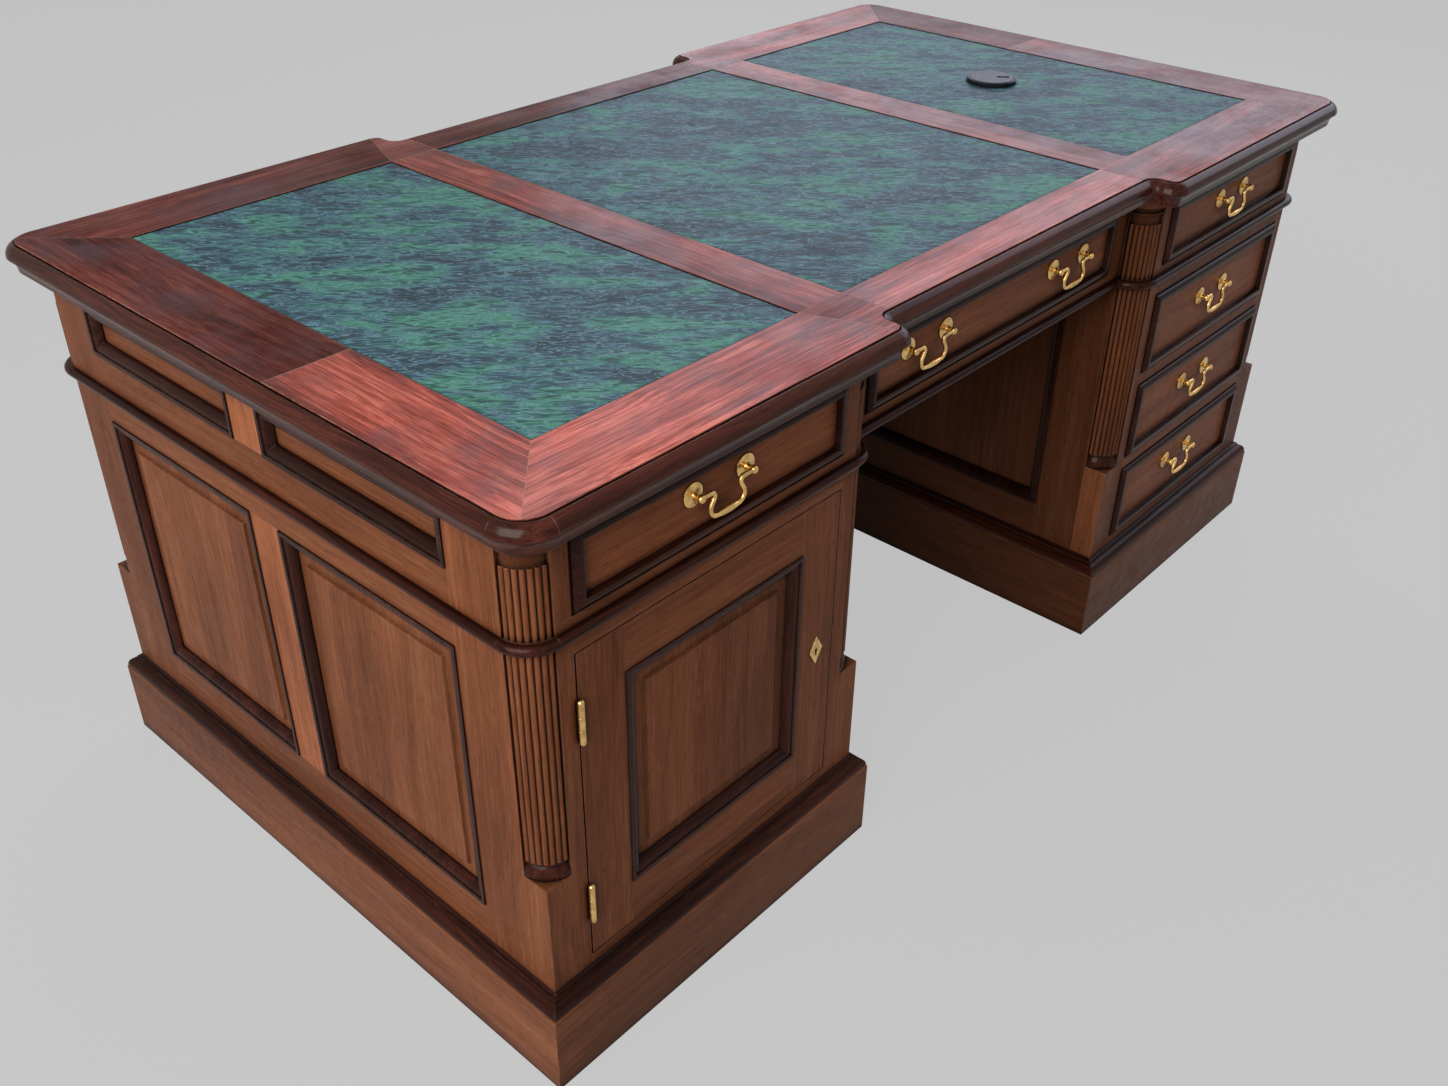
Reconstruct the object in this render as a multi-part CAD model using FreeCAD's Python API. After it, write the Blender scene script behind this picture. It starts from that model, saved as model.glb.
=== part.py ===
"""Partners desk: a breakfront top and frieze on two pedestals, the same from both long sides.

The desk stands on the floor at z = 0 with its middle on the origin. Its length runs along X and one sitter
faces it from -Y. The other sitter's side is the same work turned half a turn about the middle.
"""
import FreeCAD
import Part
import math
import os

VEC = FreeCAD.Vector
ORIGIN = VEC(0, 0, 0)
ALONG = VEC(1, 0, 0)
INTO = VEC(0, 1, 0)
UP = VEC(0, 0, 1)

# Overall sizes in millimetres
LENGTH = 1780.0
DEPTH = 984.0
HEIGHT = 780.0
KNEEHOLE_WIDTH = 646.0
END_OVERHANG = 30.0
FRONT_OVERHANG = 40.0
BREAK_RETURN = 4.0

# Top: rails, moulded edge and leather
TOP_THICK = 36.0
RAIL_WIDTH = 121.0
END_JOINT_OFF_MIDDLE = 85.0
CROSS_RAIL_WIDTH = 78.0
CROSS_RAIL_INSET = 27.0
BREAK_OVERHANG = 16.0
EDGE_DEPTH = 14.0
EDGE_CORNER = 32.0
BREAK_CORNER = 12.0
BREAK_HOLLOW = 20.0
EDGE_SINK = 1.5
EDGE_THUMB = 17.0
EDGE_LIP = 2.0
EDGE_FOOT = 4.0
EDGE_HOLLOW_SHARE = -0.1
QUIRK_WIDTH = 2.2
QUIRK_DEPTH = 5.0
LEATHER_THICK = 2.0
LEATHER_SINK = 0.8
LEATHER_SEAM = 0.5

# Cable grommet in one leather panel
GROMMET_BORE = 33.0
GROMMET_WALL = 3.0
GROMMET_LIP = 5.0
GROMMET_RISE = 6.8
GROMMET_EASE = 1.6
GROMMET_OFF_MIDDLE = 11.0
GROMMET_FIT = 0.4
CAP_LEDGE = 4.0
CAP_THICK = 3.0
CAP_GAP = 0.4
CAP_CROWN = 0.6
SLOT_WIDTH = 7.6
SLOT_START = 9.0
SLOT_LENGTH = 21.0
SLOT_TURN = -50.0

# Heights from the floor up
PLINTH_BOARD = 117.0
PLINTH_HEAD = 22.0
BOTTOM_THICK = 13.0
BLOCK_HEIGHT = 160.0
HEAD_RAIL = 21.0
BEAD_HEIGHT = 12.0
FRIEZE_HEIGHT = 124.0
FRIEZE_FOOT_RAIL = 12.0
FRIEZE_HEAD_RAIL = 14.0

# Corner posts and reeded quarter columns
COLUMN_RECESS = 36.0
POST_FACE = 22.0
REED_COUNT = 7
REED_INSET = 1.6
REED_DEPTH = 3.2
BASE_INSET = 0.6
BASE_HEIGHT = 18.0
BASE_NECK_INSET = 6.0
BASE_FILLET = 2.0
BASE_RING_OUT = 2.0
BASE_RING_HEIGHT = 4.0
BASE_BULGE_SHARE = 0.12
RING_BULGE_SHARE = 0.35
CAPITAL_DROP = 40.0
CAPITAL_NECK_INSET = 5.0
CAPITAL_NECK_HEIGHT = 14.0
CAPITAL_FLARE_SHARE = -0.2
ASTRAGAL_INSET = 3.0
ASTRAGAL_HEIGHT = 4.0

# Framed sides
FRAME_THICK = 24.0
STILE_WIDTH = 76.0
MUNTIN_WIDTH = 58.0
SIDE_FOOT_RAIL = 58.0
SIDE_HEAD_RAIL = 38.0
FRIEZE_END_FOOT = 57.0
FRIEZE_END_HEAD = 16.0
PANEL_SINK = 10.0
PANEL_THICK = 10.0
FIELD_MARGIN = 34.0
FIELD_BEVEL = 2.5
FIELD_RISE = 4.0
PARTITION_THICK = 12.0
DUST_BOARD = 12.0

# Mouldings
BEAD_FLAT = 4.0
BEAD_BULGE_SHARE = 0.42
CORNICE_FOOT = 2.0
CORNICE_OUT = 9.0
CORNICE_HEIGHT = 14.0
CORNICE_LIP = 4.0
CORNICE_HOLLOW_SHARE = -0.2
PLINTH_OUT = 19.0
PLINTH_SEAT = 20.0
PLINTH_ARRIS = 1.5
PLINTH_STEP_OUT = 6.0
PLINTH_OVOLO_HEIGHT = 14.0
PLINTH_FILLET_HEIGHT = 3.0
PLINTH_FILLET_OUT = 3.5
PLINTH_OVOLO_SHARE = 0.2
PLINTH_HOLLOW_SHARE = -0.18
PANEL_MOULD_WIDTH = 18.0
PANEL_MOULD_PROUD = 2.0
PANEL_MOULD_BEAD = 5.0
PANEL_MOULD_TOE = 1.5
PANEL_MOULD_SHARE = 0.18

# Drawers
FRONT_GAP = 1.0
RUN_GAP = 0.3
FRONT_SINK = 2.0
FRONT_THICK = 18.0
DRAWER_SIDE = 10.0
DRAWER_SIDE_DROP = 14.0
DRAWER_SIDE_INSET = 0.6
DRAWER_BACK_STOP = 48.0
DRAWER_BOTTOM = 6.0
DRAWER_BOTTOM_RISE = 9.0
DRAWER_MOULD_INSET = 2.0
DRAWER_MOULD_WIDTH = 14.0
DRAWER_MOULD_EDGE = 3.0
DRAWER_MOULD_PROUD = 8.0
DRAWER_MOULD_SWELL = 10.0
DRAWER_MOULD_CREST = 2.0
DRAWER_MOULD_TOE = 1.0
DRAWER_MOULD_SHARE = 0.16
STACK_COUNT = 3
STACK_RAIL = 18.0
RUNNER_REACH = 15.0
GUIDE_HEIGHT = 25.0
CENTRE_STILE = 32.0

# Handles: turned posts on round backplates with a swan-neck bail
HANDLE_CENTRES = 80.0
HANDLE_RAISE = 10.0
CENTRE_HANDLE_OFFSET = 168.0
ROSETTE_RADIUS = 14.0
ROSETTE_EDGE = 1.6
ROSETTE_DISH = 5.0
ROSETTE_DISH_RISE = 3.4
POST_RADIUS = 4.0
BALL_RADIUS = 5.2
HANDLE_STAND = 12.0
ROD_RADIUS = 2.8
PIN_GAP = 0.06
PIN_REACH = 1.5
NECK_REACH = 14.5
NECK_BEND = 5.5
NECK_LEAN = 30.0
GRIP_BEND = 10.0
BAIL_DROP = 30.0
GRIP_RADIUS = 4.2

# Cupboard doors, their butt hinges and escutcheons
DOOR_THICK = 20.0
DOOR_GAP = 1.5
DOOR_STILE = 65.0
DOOR_HEAD = 60.0
DOOR_FOOT = 65.0
HINGE_GAP = 2.0
LEAF_THICK = 0.9
LEAF_DEPTH = 17.0
KNUCKLE_RADIUS = 4.0
KNUCKLE_CLEAR = 0.4
KNUCKLE_SPACE = 0.3
HINGE_PIN = 1.6
HINGE_PIN_GAP = 0.05
HINGE_HEIGHT = 52.0
HINGE_END = 60.0
ESCUTCHEON_HALF_WIDTH = 12.0
ESCUTCHEON_HALF_HEIGHT = 21.0
ESCUTCHEON_THICK = 1.4
ESCUTCHEON_INSET = 31.0
KEYHOLE_RADIUS = 2.6
KEYHOLE_SLOT = 2.4
KEYHOLE_DROP = 8.0

# How far cutting shapes run past what they cut
OVERRUN = 5.0

# Places worked out from the sizes above
BREAK_DEPTH = COLUMN_RECESS + BREAK_RETURN
OUT_X = LENGTH / 2 - END_OVERHANG
OUT_Y = DEPTH / 2 - FRONT_OVERHANG
IN_X = KNEEHOLE_WIDTH / 2
CENTRE_Y = OUT_Y - BREAK_DEPTH
FRAME_Y = OUT_Y - COLUMN_RECESS
PANEL_Y = FRAME_Y - STILE_WIDTH
PEDESTAL_X = (OUT_X + IN_X) / 2
OPENING_WIDTH = OUT_X - IN_X - 2 * (COLUMN_RECESS + POST_FACE)
PLINTH_TOP = PLINTH_BOARD + PLINTH_HEAD
PLINTH_STEP_LOW = PLINTH_BOARD + PLINTH_OVOLO_HEIGHT
PLINTH_STEP_HIGH = PLINTH_STEP_LOW + PLINTH_FILLET_HEIGHT
BLOCK_TOP = PLINTH_TOP + BLOCK_HEIGHT
TOP_UNDER = HEIGHT - TOP_THICK
BEAD_TOP = TOP_UNDER - FRIEZE_HEIGHT
PEDESTAL_TOP = BEAD_TOP - BEAD_HEIGHT
OPENING_LOW = PLINTH_TOP + BOTTOM_THICK
OPENING_HIGH = PEDESTAL_TOP - HEAD_RAIL
FRIEZE_LOW = BEAD_TOP + FRIEZE_FOOT_RAIL
FRIEZE_HIGH = TOP_UNDER - FRIEZE_HEAD_RAIL
CORNICE_LOW = TOP_UNDER - CORNICE_HEIGHT
RAIL_X = LENGTH / 2 - EDGE_DEPTH
RAIL_Y = DEPTH / 2 - EDGE_DEPTH
BREAK_X = IN_X - BREAK_OVERHANG
LEATHER_X = LENGTH / 2 - RAIL_WIDTH
LEATHER_Y = DEPTH / 2 - RAIL_WIDTH
CENTRE_LEATHER_X = IN_X - CROSS_RAIL_INSET
SIDE_LEATHER_X = CENTRE_LEATHER_X + CROSS_RAIL_WIDTH
LEATHER_TOP = HEIGHT - LEATHER_SINK
GROUND_TOP = LEATHER_TOP - LEATHER_THICK
GROMMET_BARREL = GROMMET_BORE + GROMMET_WALL
GROMMET_RADIUS = GROMMET_BARREL + GROMMET_LIP
CAP_RADIUS = GROMMET_BORE + CAP_LEDGE
GROMMET_X = (LEATHER_X + SIDE_LEATHER_X) / 2
GROMMET_TOP = LEATHER_TOP + GROMMET_RISE
CAP_SEAT = GROMMET_TOP - CAP_THICK
REED_CREST = COLUMN_RECESS - REED_INSET
REED_VALLEY = REED_CREST - REED_DEPTH
BASE_RADIUS = COLUMN_RECESS - BASE_INSET
BASE_NECK = COLUMN_RECESS - BASE_NECK_INSET
BASE_RING = BASE_NECK + BASE_RING_OUT
CAPITAL_NECK = COLUMN_RECESS - CAPITAL_NECK_INSET
ASTRAGAL_RADIUS = COLUMN_RECESS - ASTRAGAL_INSET
CENTRE_OPENING = 2 * (IN_X - CENTRE_STILE)
STACK_OPENING = (OPENING_HIGH - OPENING_LOW - (STACK_COUNT - 1) * STACK_RAIL) / STACK_COUNT
DOOR_WIDTH = OPENING_WIDTH - HINGE_GAP - DOOR_GAP
DOOR_HEIGHT = OPENING_HIGH - OPENING_LOW - 2 * DOOR_GAP
DOOR_X = -PEDESTAL_X - OPENING_WIDTH / 2 + HINGE_GAP + DOOR_WIDTH / 2
DOOR_Z = (OPENING_LOW + OPENING_HIGH) / 2
HINGE_X = -PEDESTAL_X - OPENING_WIDTH / 2 + HINGE_GAP / 2
HINGE_Y = -OUT_Y - KNUCKLE_RADIUS - KNUCKLE_CLEAR
HINGE_LEVELS = (
    OPENING_LOW + HINGE_END + HINGE_HEIGHT / 2,
    OPENING_HIGH - HINGE_END - HINGE_HEIGHT / 2,
)

# Each front drawer's middle x, face y, opening's bottom, height and width, and its handles' offsets
SIDE_FRIEZE = (OUT_Y, FRIEZE_LOW, FRIEZE_HIGH - FRIEZE_LOW, OPENING_WIDTH, (0,))
CENTRE_HANDLES = (-CENTRE_HANDLE_OFFSET, CENTRE_HANDLE_OFFSET)
CENTRE_FRIEZE = (CENTRE_Y, FRIEZE_LOW, FRIEZE_HIGH - FRIEZE_LOW, CENTRE_OPENING, CENTRE_HANDLES)
DRAWER_PLACES = {
    "left": (-PEDESTAL_X,) + SIDE_FRIEZE,
    "centre": (0,) + CENTRE_FRIEZE,
    "right": (PEDESTAL_X,) + SIDE_FRIEZE,
}
for order, name in enumerate(("lower", "middle", "upper")):
    stack_low = OPENING_LOW + order * (STACK_OPENING + STACK_RAIL)
    DRAWER_PLACES[name] = (PEDESTAL_X, OUT_Y, stack_low, STACK_OPENING, OPENING_WIDTH, (0,))


def box(x0, x1, y0, y1, z0, z1):
    """A board between two values on each axis, given in either order."""
    low = VEC(min(x0, x1), min(y0, y1), min(z0, z1))
    return Part.makeBox(abs(x1 - x0), abs(y1 - y0), abs(z1 - z0), low)


def placed(shapes, x=0, y=0, z=0, angle=0):
    """Copies of shapes turned about the upright axis and then moved."""
    copies = []
    for shape in shapes:
        copy = shape.copy()
        copy.rotate(ORIGIN, UP, angle)
        copy.translate(VEC(x, y, z))
        copies.append(copy)
    return copies


def half_turn(shapes):
    """The same work on the other sitter's side."""
    return placed(shapes, angle=180)


def both_sides(shapes):
    """The work on this side and its copy on the other sitter's side."""
    return shapes + half_turn(shapes)


def section(steps):
    """A closed face in the XZ plane from (out, height) steps; a third value bulges the edge to that step."""
    points = [VEC(step[0], 0, step[1]) for step in steps]
    edges = []
    for start, end, step in zip(points, points[1:] + points[:1], steps[1:] + steps[:1]):
        if len(step) > 2:
            chord = end - start
            middle = (start + end) * 0.5 + VEC(chord.z, 0, -chord.x) * step[2]
            edges.append(Part.Arc(start, middle, end).toShape())
        else:
            edges.append(Part.LineSegment(start, end).toShape())
    return Part.Face(Part.Wire(edges))


def upright_share(out, rise):
    """The bulge that makes an arc upright where it reaches furthest out."""
    return math.tan(math.atan2(out, rise) / 2) / 2


def upright_prism(points, low, high):
    """A board with the plan outline given by (x, y) points."""
    corners = [VEC(x, y, low) for x, y in points]
    return Part.Face(Part.makePolygon(corners + corners[:1])).extrude(VEC(0, 0, high - low))


def breakfront(x, y, step_x, centre_y, corner, step_corner, step_hollow):
    """The desk's plan as (x, y, corner radius) points, anticlockwise from the front left corner."""
    front = [
        (-x, -y, corner), (-step_x, -y, step_corner), (-step_x, -centre_y, step_hollow),
        (step_x, -centre_y, step_hollow), (step_x, -y, step_corner), (x, -y, corner),
    ]
    return front + [(-px, -py, radius) for px, py, radius in front]


def turn_at(before, corner, after):
    """1 at an outward corner of an anticlockwise plan and -1 at an inward one."""
    arriving = (corner[0] - before[0], corner[1] - before[1])
    leaving = (after[0] - corner[0], after[1] - corner[1])
    return 1 if arriving[0] * leaving[1] > arriving[1] * leaving[0] else -1


def straight_length(face, length, start_mitre, end_mitre):
    """A moulding along +Y from the origin; a mitre is 1 outward, -1 inward and 0 square."""
    if start_mitre == 0 and end_mitre == 0:
        return face.extrude(VEC(0, length, 0))
    inner = face.BoundBox.XMin
    outer = face.BoundBox.XMax
    spare = max(abs(inner), abs(outer))
    bar = face.copy()
    bar.translate(VEC(0, -spare, 0))
    bar = bar.extrude(VEC(0, length + 2 * spare, 0))
    plan = [
        (inner, -start_mitre * inner), (outer, -start_mitre * outer),
        (outer, length + end_mitre * outer), (inner, length + end_mitre * inner),
    ]
    cutter = upright_prism(plan, face.BoundBox.ZMin - OVERRUN, face.BoundBox.ZMax + OVERRUN)
    return bar.common(cutter).Solids[0]


def moulding_ring(plan, steps):
    """Lengths of one moulding round a plan: turned pieces at rounded corners, mitres at sharp outward ones.

    A run between two sharp inward corners is coped to the pieces that it meets there.
    """
    face = section(steps)
    pieces = []
    coped = []
    for index, corner in enumerate(plan):
        before = plan[index - 1]
        after = plan[(index + 1) % len(plan)]
        beyond = plan[(index + 2) % len(plan)]
        run = VEC(after[0] - corner[0], after[1] - corner[1], 0)
        clear_length = run.Length - corner[2] - after[2]
        run.normalize()
        angle = math.degrees(math.atan2(-run.x, run.y))
        start = VEC(corner[0], corner[1], 0) + run * corner[2]
        end = start + run * clear_length
        start_turn = 0 if corner[2] else turn_at(before, corner, after)
        end_turn = turn_at(corner, after, beyond)
        if clear_length > 0:
            sharp_end = 0 if after[2] else end_turn
            length = straight_length(face, clear_length, max(start_turn, 0), max(sharp_end, 0))
            group = coped if start_turn < 0 and sharp_end < 0 else pieces
            group += placed([length], start.x, start.y, 0, angle)
        if after[2]:
            out = VEC(run.y, -run.x, 0)
            centre = end - out * (end_turn * after[2])
            bend = placed([face], end.x, end.y, 0, angle)[0]
            pieces.append(bend.revolve(centre, UP * end_turn, 90))
    return pieces + [length.cut(pieces).Solids[0] for length in coped]


def mitred_strip(length, steps):
    """A moulding strip facing front along X, with its outer edge on z = 0 and 45 degree ends."""
    face = section(steps)
    bounds = face.BoundBox
    bar = face.extrude(VEC(0, length, 0))
    bar.translate(VEC(0, -length / 2, 0))
    wide = bounds.ZMax
    ends = [(-length / 2, 0), (length / 2, 0), (length / 2 - wide, wide), (wide - length / 2, wide)]
    corners = [VEC(bounds.XMin - OVERRUN, y, z) for y, z in ends]
    through = ALONG * (bounds.XLength + 2 * OVERRUN)
    cutter = Part.Face(Part.makePolygon(corners + corners[:1])).extrude(through)
    strip = bar.common(cutter).Solids[0]
    strip.rotate(ORIGIN, UP, -90)
    return strip


def strip_frame(width, height, steps):
    """Four mitred strips round a front-facing rectangle that is centred on the origin."""
    frame = []
    for angle in (0, 90, 180, 270):
        length, across = (width, height) if angle in (0, 180) else (height, width)
        strip = mitred_strip(length, steps)
        strip.translate(VEC(0, 0, -across / 2))
        strip.rotate(ORIGIN, INTO, angle)
        frame.append(strip)
    return frame


def rectangle(width, height, y):
    """A front-facing rectangular wire centred on the Y axis."""
    corners = [
        VEC(-width / 2, y, -height / 2), VEC(width / 2, y, -height / 2),
        VEC(width / 2, y, height / 2), VEC(-width / 2, y, height / 2),
    ]
    return Part.makePolygon(corners + corners[:1])


def flat_panel(width, height):
    """A front-facing panel with its face on y = 0."""
    return box(-width / 2, width / 2, 0, PANEL_THICK, -height / 2, height / 2)


def fielded_panel(width, height):
    """A front-facing panel whose middle rises over a bevelled step."""
    foot = rectangle(width - 2 * FIELD_MARGIN, height - 2 * FIELD_MARGIN, 0)
    crown_margin = FIELD_MARGIN + FIELD_BEVEL
    crown = rectangle(width - 2 * crown_margin, height - 2 * crown_margin, -FIELD_RISE)
    field = Part.makeLoft([foot, crown], True, True)
    return flat_panel(width, height).fuse(field).removeSplitter()


def panel_moulding(width, height):
    """The moulding between a frame's face, on y = 0, and its sunk panel."""
    steps = [
        (-PANEL_SINK, 0), (PANEL_MOULD_PROUD, 0),
        (PANEL_MOULD_PROUD, PANEL_MOULD_BEAD), (0, PANEL_MOULD_BEAD),
        (PANEL_MOULD_TOE - PANEL_SINK, PANEL_MOULD_WIDTH, PANEL_MOULD_SHARE),
        (-PANEL_SINK, PANEL_MOULD_WIDTH),
    ]
    return strip_frame(width, height, steps)


def drawer_moulding(width, height):
    """The moulding round a drawer front whose face is on y = 0: it swells inwards to a crest."""
    crest = DRAWER_MOULD_SWELL + DRAWER_MOULD_CREST
    steps = [
        (0, 0), (DRAWER_MOULD_EDGE, 0), (DRAWER_MOULD_PROUD, DRAWER_MOULD_SWELL, DRAWER_MOULD_SHARE),
        (DRAWER_MOULD_PROUD, crest), (DRAWER_MOULD_TOE, DRAWER_MOULD_WIDTH), (0, DRAWER_MOULD_WIDTH),
    ]
    return strip_frame(width, height, steps)


def rail_plan():
    """The outer line of the top's rails, inside the moulded edge."""
    step_x = BREAK_X + EDGE_DEPTH
    return breakfront(RAIL_X, RAIL_Y, step_x, RAIL_Y - BREAK_DEPTH, EDGE_CORNER, BREAK_CORNER, BREAK_HOLLOW)


def top_slab():
    """The rails' outline with its rounded corners, as one board before it is divided."""
    plan = rail_plan()
    edges = []
    for index, corner in enumerate(plan):
        after = plan[(index + 1) % len(plan)]
        beyond = plan[(index + 2) % len(plan)]
        run = VEC(after[0] - corner[0], after[1] - corner[1], 0).normalize()
        start = VEC(corner[0], corner[1], TOP_UNDER) + run * corner[2]
        end = VEC(after[0], after[1], TOP_UNDER) - run * after[2]
        left = VEC(-run.y, run.x, 0) * turn_at(corner, after, beyond)
        finish = end + (run + left) * after[2]
        middle = end + (run * math.sin(math.radians(45)) + left * (1 - math.cos(math.radians(45)))) * after[2]
        edges.append(Part.LineSegment(start, end).toShape())
        edges.append(Part.Arc(end, middle, finish).toShape())
    return Part.Face(Part.Wire(edges)).extrude(UP * TOP_THICK)


def top_rails():
    """Mitred end rails in two lengths, long rails with a block at each break, and two cross rails."""
    slab = top_slab()
    spread = RAIL_X - LEATHER_X + OVERRUN
    far_x = LEATHER_X + spread
    far_y = LEATHER_Y + spread
    joint = SIDE_LEATHER_X
    end_joint = -END_JOINT_OFF_MIDDLE
    near_rail = [(-far_x, end_joint), (-far_x, -far_y), (-LEATHER_X, -LEATHER_Y), (-LEATHER_X, end_joint)]
    far_rail = [(-far_x, far_y), (-far_x, end_joint), (-LEATHER_X, end_joint), (-LEATHER_X, LEATHER_Y)]
    inner = CENTRE_LEATHER_X
    lean = (joint - BREAK_X - EDGE_DEPTH - BREAK_CORNER) / (RAIL_Y - LEATHER_Y)
    tip = joint - lean * spread
    left_rail = [(-far_x, -far_y), (-tip, -far_y), (-joint, -LEATHER_Y), (-LEATHER_X, -LEATHER_Y)]
    left_block = [(-tip, -far_y), (-inner, -far_y), (-inner, -LEATHER_Y), (-joint, -LEATHER_Y)]
    right_rail = [(-x, y) for x, y in reversed(left_rail)]
    right_block = [(-x, y) for x, y in reversed(left_block)]
    middle_rail = [(-inner, -far_y), (inner, -far_y), (inner, -LEATHER_Y), (-inner, -LEATHER_Y)]
    cross_rail = [(-joint, -LEATHER_Y), (-inner, -LEATHER_Y), (-inner, LEATHER_Y), (-joint, LEATHER_Y)]
    long_rail = (left_rail, left_block, middle_rail, right_block, right_rail)
    rails = []
    for plan in (near_rail, far_rail) + long_rail + (cross_rail,):
        region = upright_prism(plan, TOP_UNDER - OVERRUN, HEIGHT + OVERRUN)
        rails += slab.common(region).Solids
    return both_sides(rails)


def top_edge():
    """The edge worked round the top: a thumb moulding parted from the rails by a quirk, over a hollow."""
    plan = rail_plan()
    arris = HEIGHT - EDGE_THUMB
    crown = HEIGHT - EDGE_SINK
    steps = [
        (0, TOP_UNDER), (EDGE_FOOT, TOP_UNDER), (EDGE_DEPTH - EDGE_LIP, arris, EDGE_HOLLOW_SHARE),
        (EDGE_DEPTH, arris), (QUIRK_WIDTH, crown, upright_share(EDGE_DEPTH - QUIRK_WIDTH, crown - arris)),
        (QUIRK_WIDTH, HEIGHT - QUIRK_DEPTH), (0, HEIGHT - QUIRK_DEPTH),
    ]
    return moulding_ring(plan, steps)


def leather_spans():
    """Each leather panel's two ends along X."""
    return {
        "left": (-LEATHER_X, -SIDE_LEATHER_X),
        "centre": (-CENTRE_LEATHER_X, CENTRE_LEATHER_X),
        "right": (SIDE_LEATHER_X, LEATHER_X),
    }


def grommet_hole(shape):
    """The shape with the grommet's hole bored through it."""
    foot = VEC(GROMMET_X, -GROMMET_OFF_MIDDLE, TOP_UNDER - OVERRUN)
    bit = Part.makeCylinder(GROMMET_BARREL + GROMMET_FIT, TOP_THICK + 2 * OVERRUN, foot)
    return shape.cut(bit).Solids[0]


def leather(span):
    """One leather panel in its recess."""
    seam = LEATHER_SEAM
    depth = LEATHER_Y - seam
    return box(span[0] + seam, span[1] - seam, -depth, depth, GROUND_TOP, LEATHER_TOP)


def ground(span):
    """The board under one leather panel."""
    return box(span[0], span[1], -LEATHER_Y, LEATHER_Y, TOP_UNDER, GROUND_TOP)


def grommet_liner():
    """The flanged sleeve of the grommet, with a seat for its cap."""
    steps = [
        (GROMMET_BORE, TOP_UNDER), (GROMMET_BARREL, TOP_UNDER), (GROMMET_BARREL, LEATHER_TOP),
        (GROMMET_RADIUS, LEATHER_TOP), (GROMMET_RADIUS, GROMMET_TOP - GROMMET_EASE),
        (GROMMET_RADIUS - GROMMET_EASE, GROMMET_TOP), (CAP_RADIUS + CAP_GAP, GROMMET_TOP),
        (CAP_RADIUS + CAP_GAP, CAP_SEAT), (GROMMET_BORE, CAP_SEAT),
    ]
    liner = section(steps).revolve(ORIGIN, UP, 360)
    return placed([liner], GROMMET_X, -GROMMET_OFF_MIDDLE)


def grommet_cap():
    """The loose cap, which turns in its seat, with a slot for cables."""
    rim = GROMMET_TOP
    crown = rim + CAP_CROWN
    steps = [
        (0, CAP_SEAT), (CAP_RADIUS, CAP_SEAT), (CAP_RADIUS, rim),
        (CAP_RADIUS - CAP_CROWN, crown), (0, crown),
    ]
    cap = section(steps).revolve(ORIGIN, UP, 360)
    half = SLOT_WIDTH / 2
    slot = box(SLOT_START, SLOT_START + SLOT_LENGTH, -half, half, CAP_SEAT - OVERRUN, rim + OVERRUN)
    slot.rotate(ORIGIN, UP, SLOT_TURN)
    return placed([cap.cut(slot).Solids[0]], GROMMET_X, -GROMMET_OFF_MIDDLE)


def around(radius, angle, level):
    """A point on a circle about the upright axis."""
    return VEC(radius * math.cos(angle), radius * math.sin(angle), level)


def reeded_shaft(low, high):
    """A quarter column in the first quadrant, with reeds round its face."""
    step = math.radians(90) / REED_COUNT
    rim = [around(REED_VALLEY, index * step, low) for index in range(REED_COUNT + 1)]
    edges = [Part.LineSegment(VEC(0, 0, low), rim[0]).toShape()]
    for index in range(REED_COUNT):
        crest = around(REED_CREST, (index + 0.5) * step, low)
        edges.append(Part.Arc(rim[index], crest, rim[index + 1]).toShape())
    edges.append(Part.LineSegment(rim[-1], VEC(0, 0, low)).toShape())
    return Part.Face(Part.Wire(edges)).extrude(UP * (high - low))


def quarter_turning(steps):
    """A quarter of a turned piece in the first quadrant."""
    return section(steps).revolve(ORIGIN, UP, 90)


def lower_column():
    """The pedestal's column: moulded base and reeded shaft."""
    base_top = BLOCK_TOP + BASE_HEIGHT
    ring_low = base_top + BASE_FILLET
    ring_top = ring_low + BASE_RING_HEIGHT
    base = quarter_turning([
        (0, BLOCK_TOP), (BASE_RADIUS, BLOCK_TOP), (BASE_NECK, base_top, BASE_BULGE_SHARE),
        (BASE_NECK, ring_low), (BASE_RING, ring_low), (BASE_RING, ring_top, RING_BULGE_SHARE),
        (BASE_NECK, ring_top), (0, ring_top),
    ])
    return base.fuse(reeded_shaft(ring_top, PEDESTAL_TOP)).removeSplitter()


def upper_column():
    """The frieze's column: waist block, reeded shaft, plain neck, astragal and flared capital."""
    neck_low = TOP_UNDER - CAPITAL_DROP
    astragal_low = neck_low + CAPITAL_NECK_HEIGHT
    astragal_top = astragal_low + ASTRAGAL_HEIGHT
    waist = quarter_turning([
        (0, PEDESTAL_TOP), (COLUMN_RECESS, PEDESTAL_TOP), (COLUMN_RECESS, BEAD_TOP), (0, BEAD_TOP),
    ])
    capital = quarter_turning([
        (0, neck_low), (CAPITAL_NECK, neck_low), (CAPITAL_NECK, astragal_low),
        (ASTRAGAL_RADIUS, astragal_low), (ASTRAGAL_RADIUS, astragal_top, RING_BULGE_SHARE),
        (CAPITAL_NECK, astragal_top),
        (COLUMN_RECESS, CORNICE_LOW, CAPITAL_FLARE_SHARE), (COLUMN_RECESS, TOP_UNDER), (0, TOP_UNDER),
    ])
    return waist.multiFuse([reeded_shaft(BEAD_TOP, neck_low), capital]).removeSplitter()


def columns():
    """A lower and an upper quarter column in each recessed corner of both pedestals."""
    pair = [lower_column(), upper_column()]
    outer_x = OUT_X - COLUMN_RECESS
    inner_x = IN_X + COLUMN_RECESS
    corners = placed(pair, -outer_x, -FRAME_Y, 0, 180)
    corners += placed(pair, -inner_x, -FRAME_Y, 0, 270)
    corners += placed(pair, inner_x, -FRAME_Y, 0, 180)
    corners += placed(pair, outer_x, -FRAME_Y, 0, 270)
    return both_sides(corners)


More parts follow.
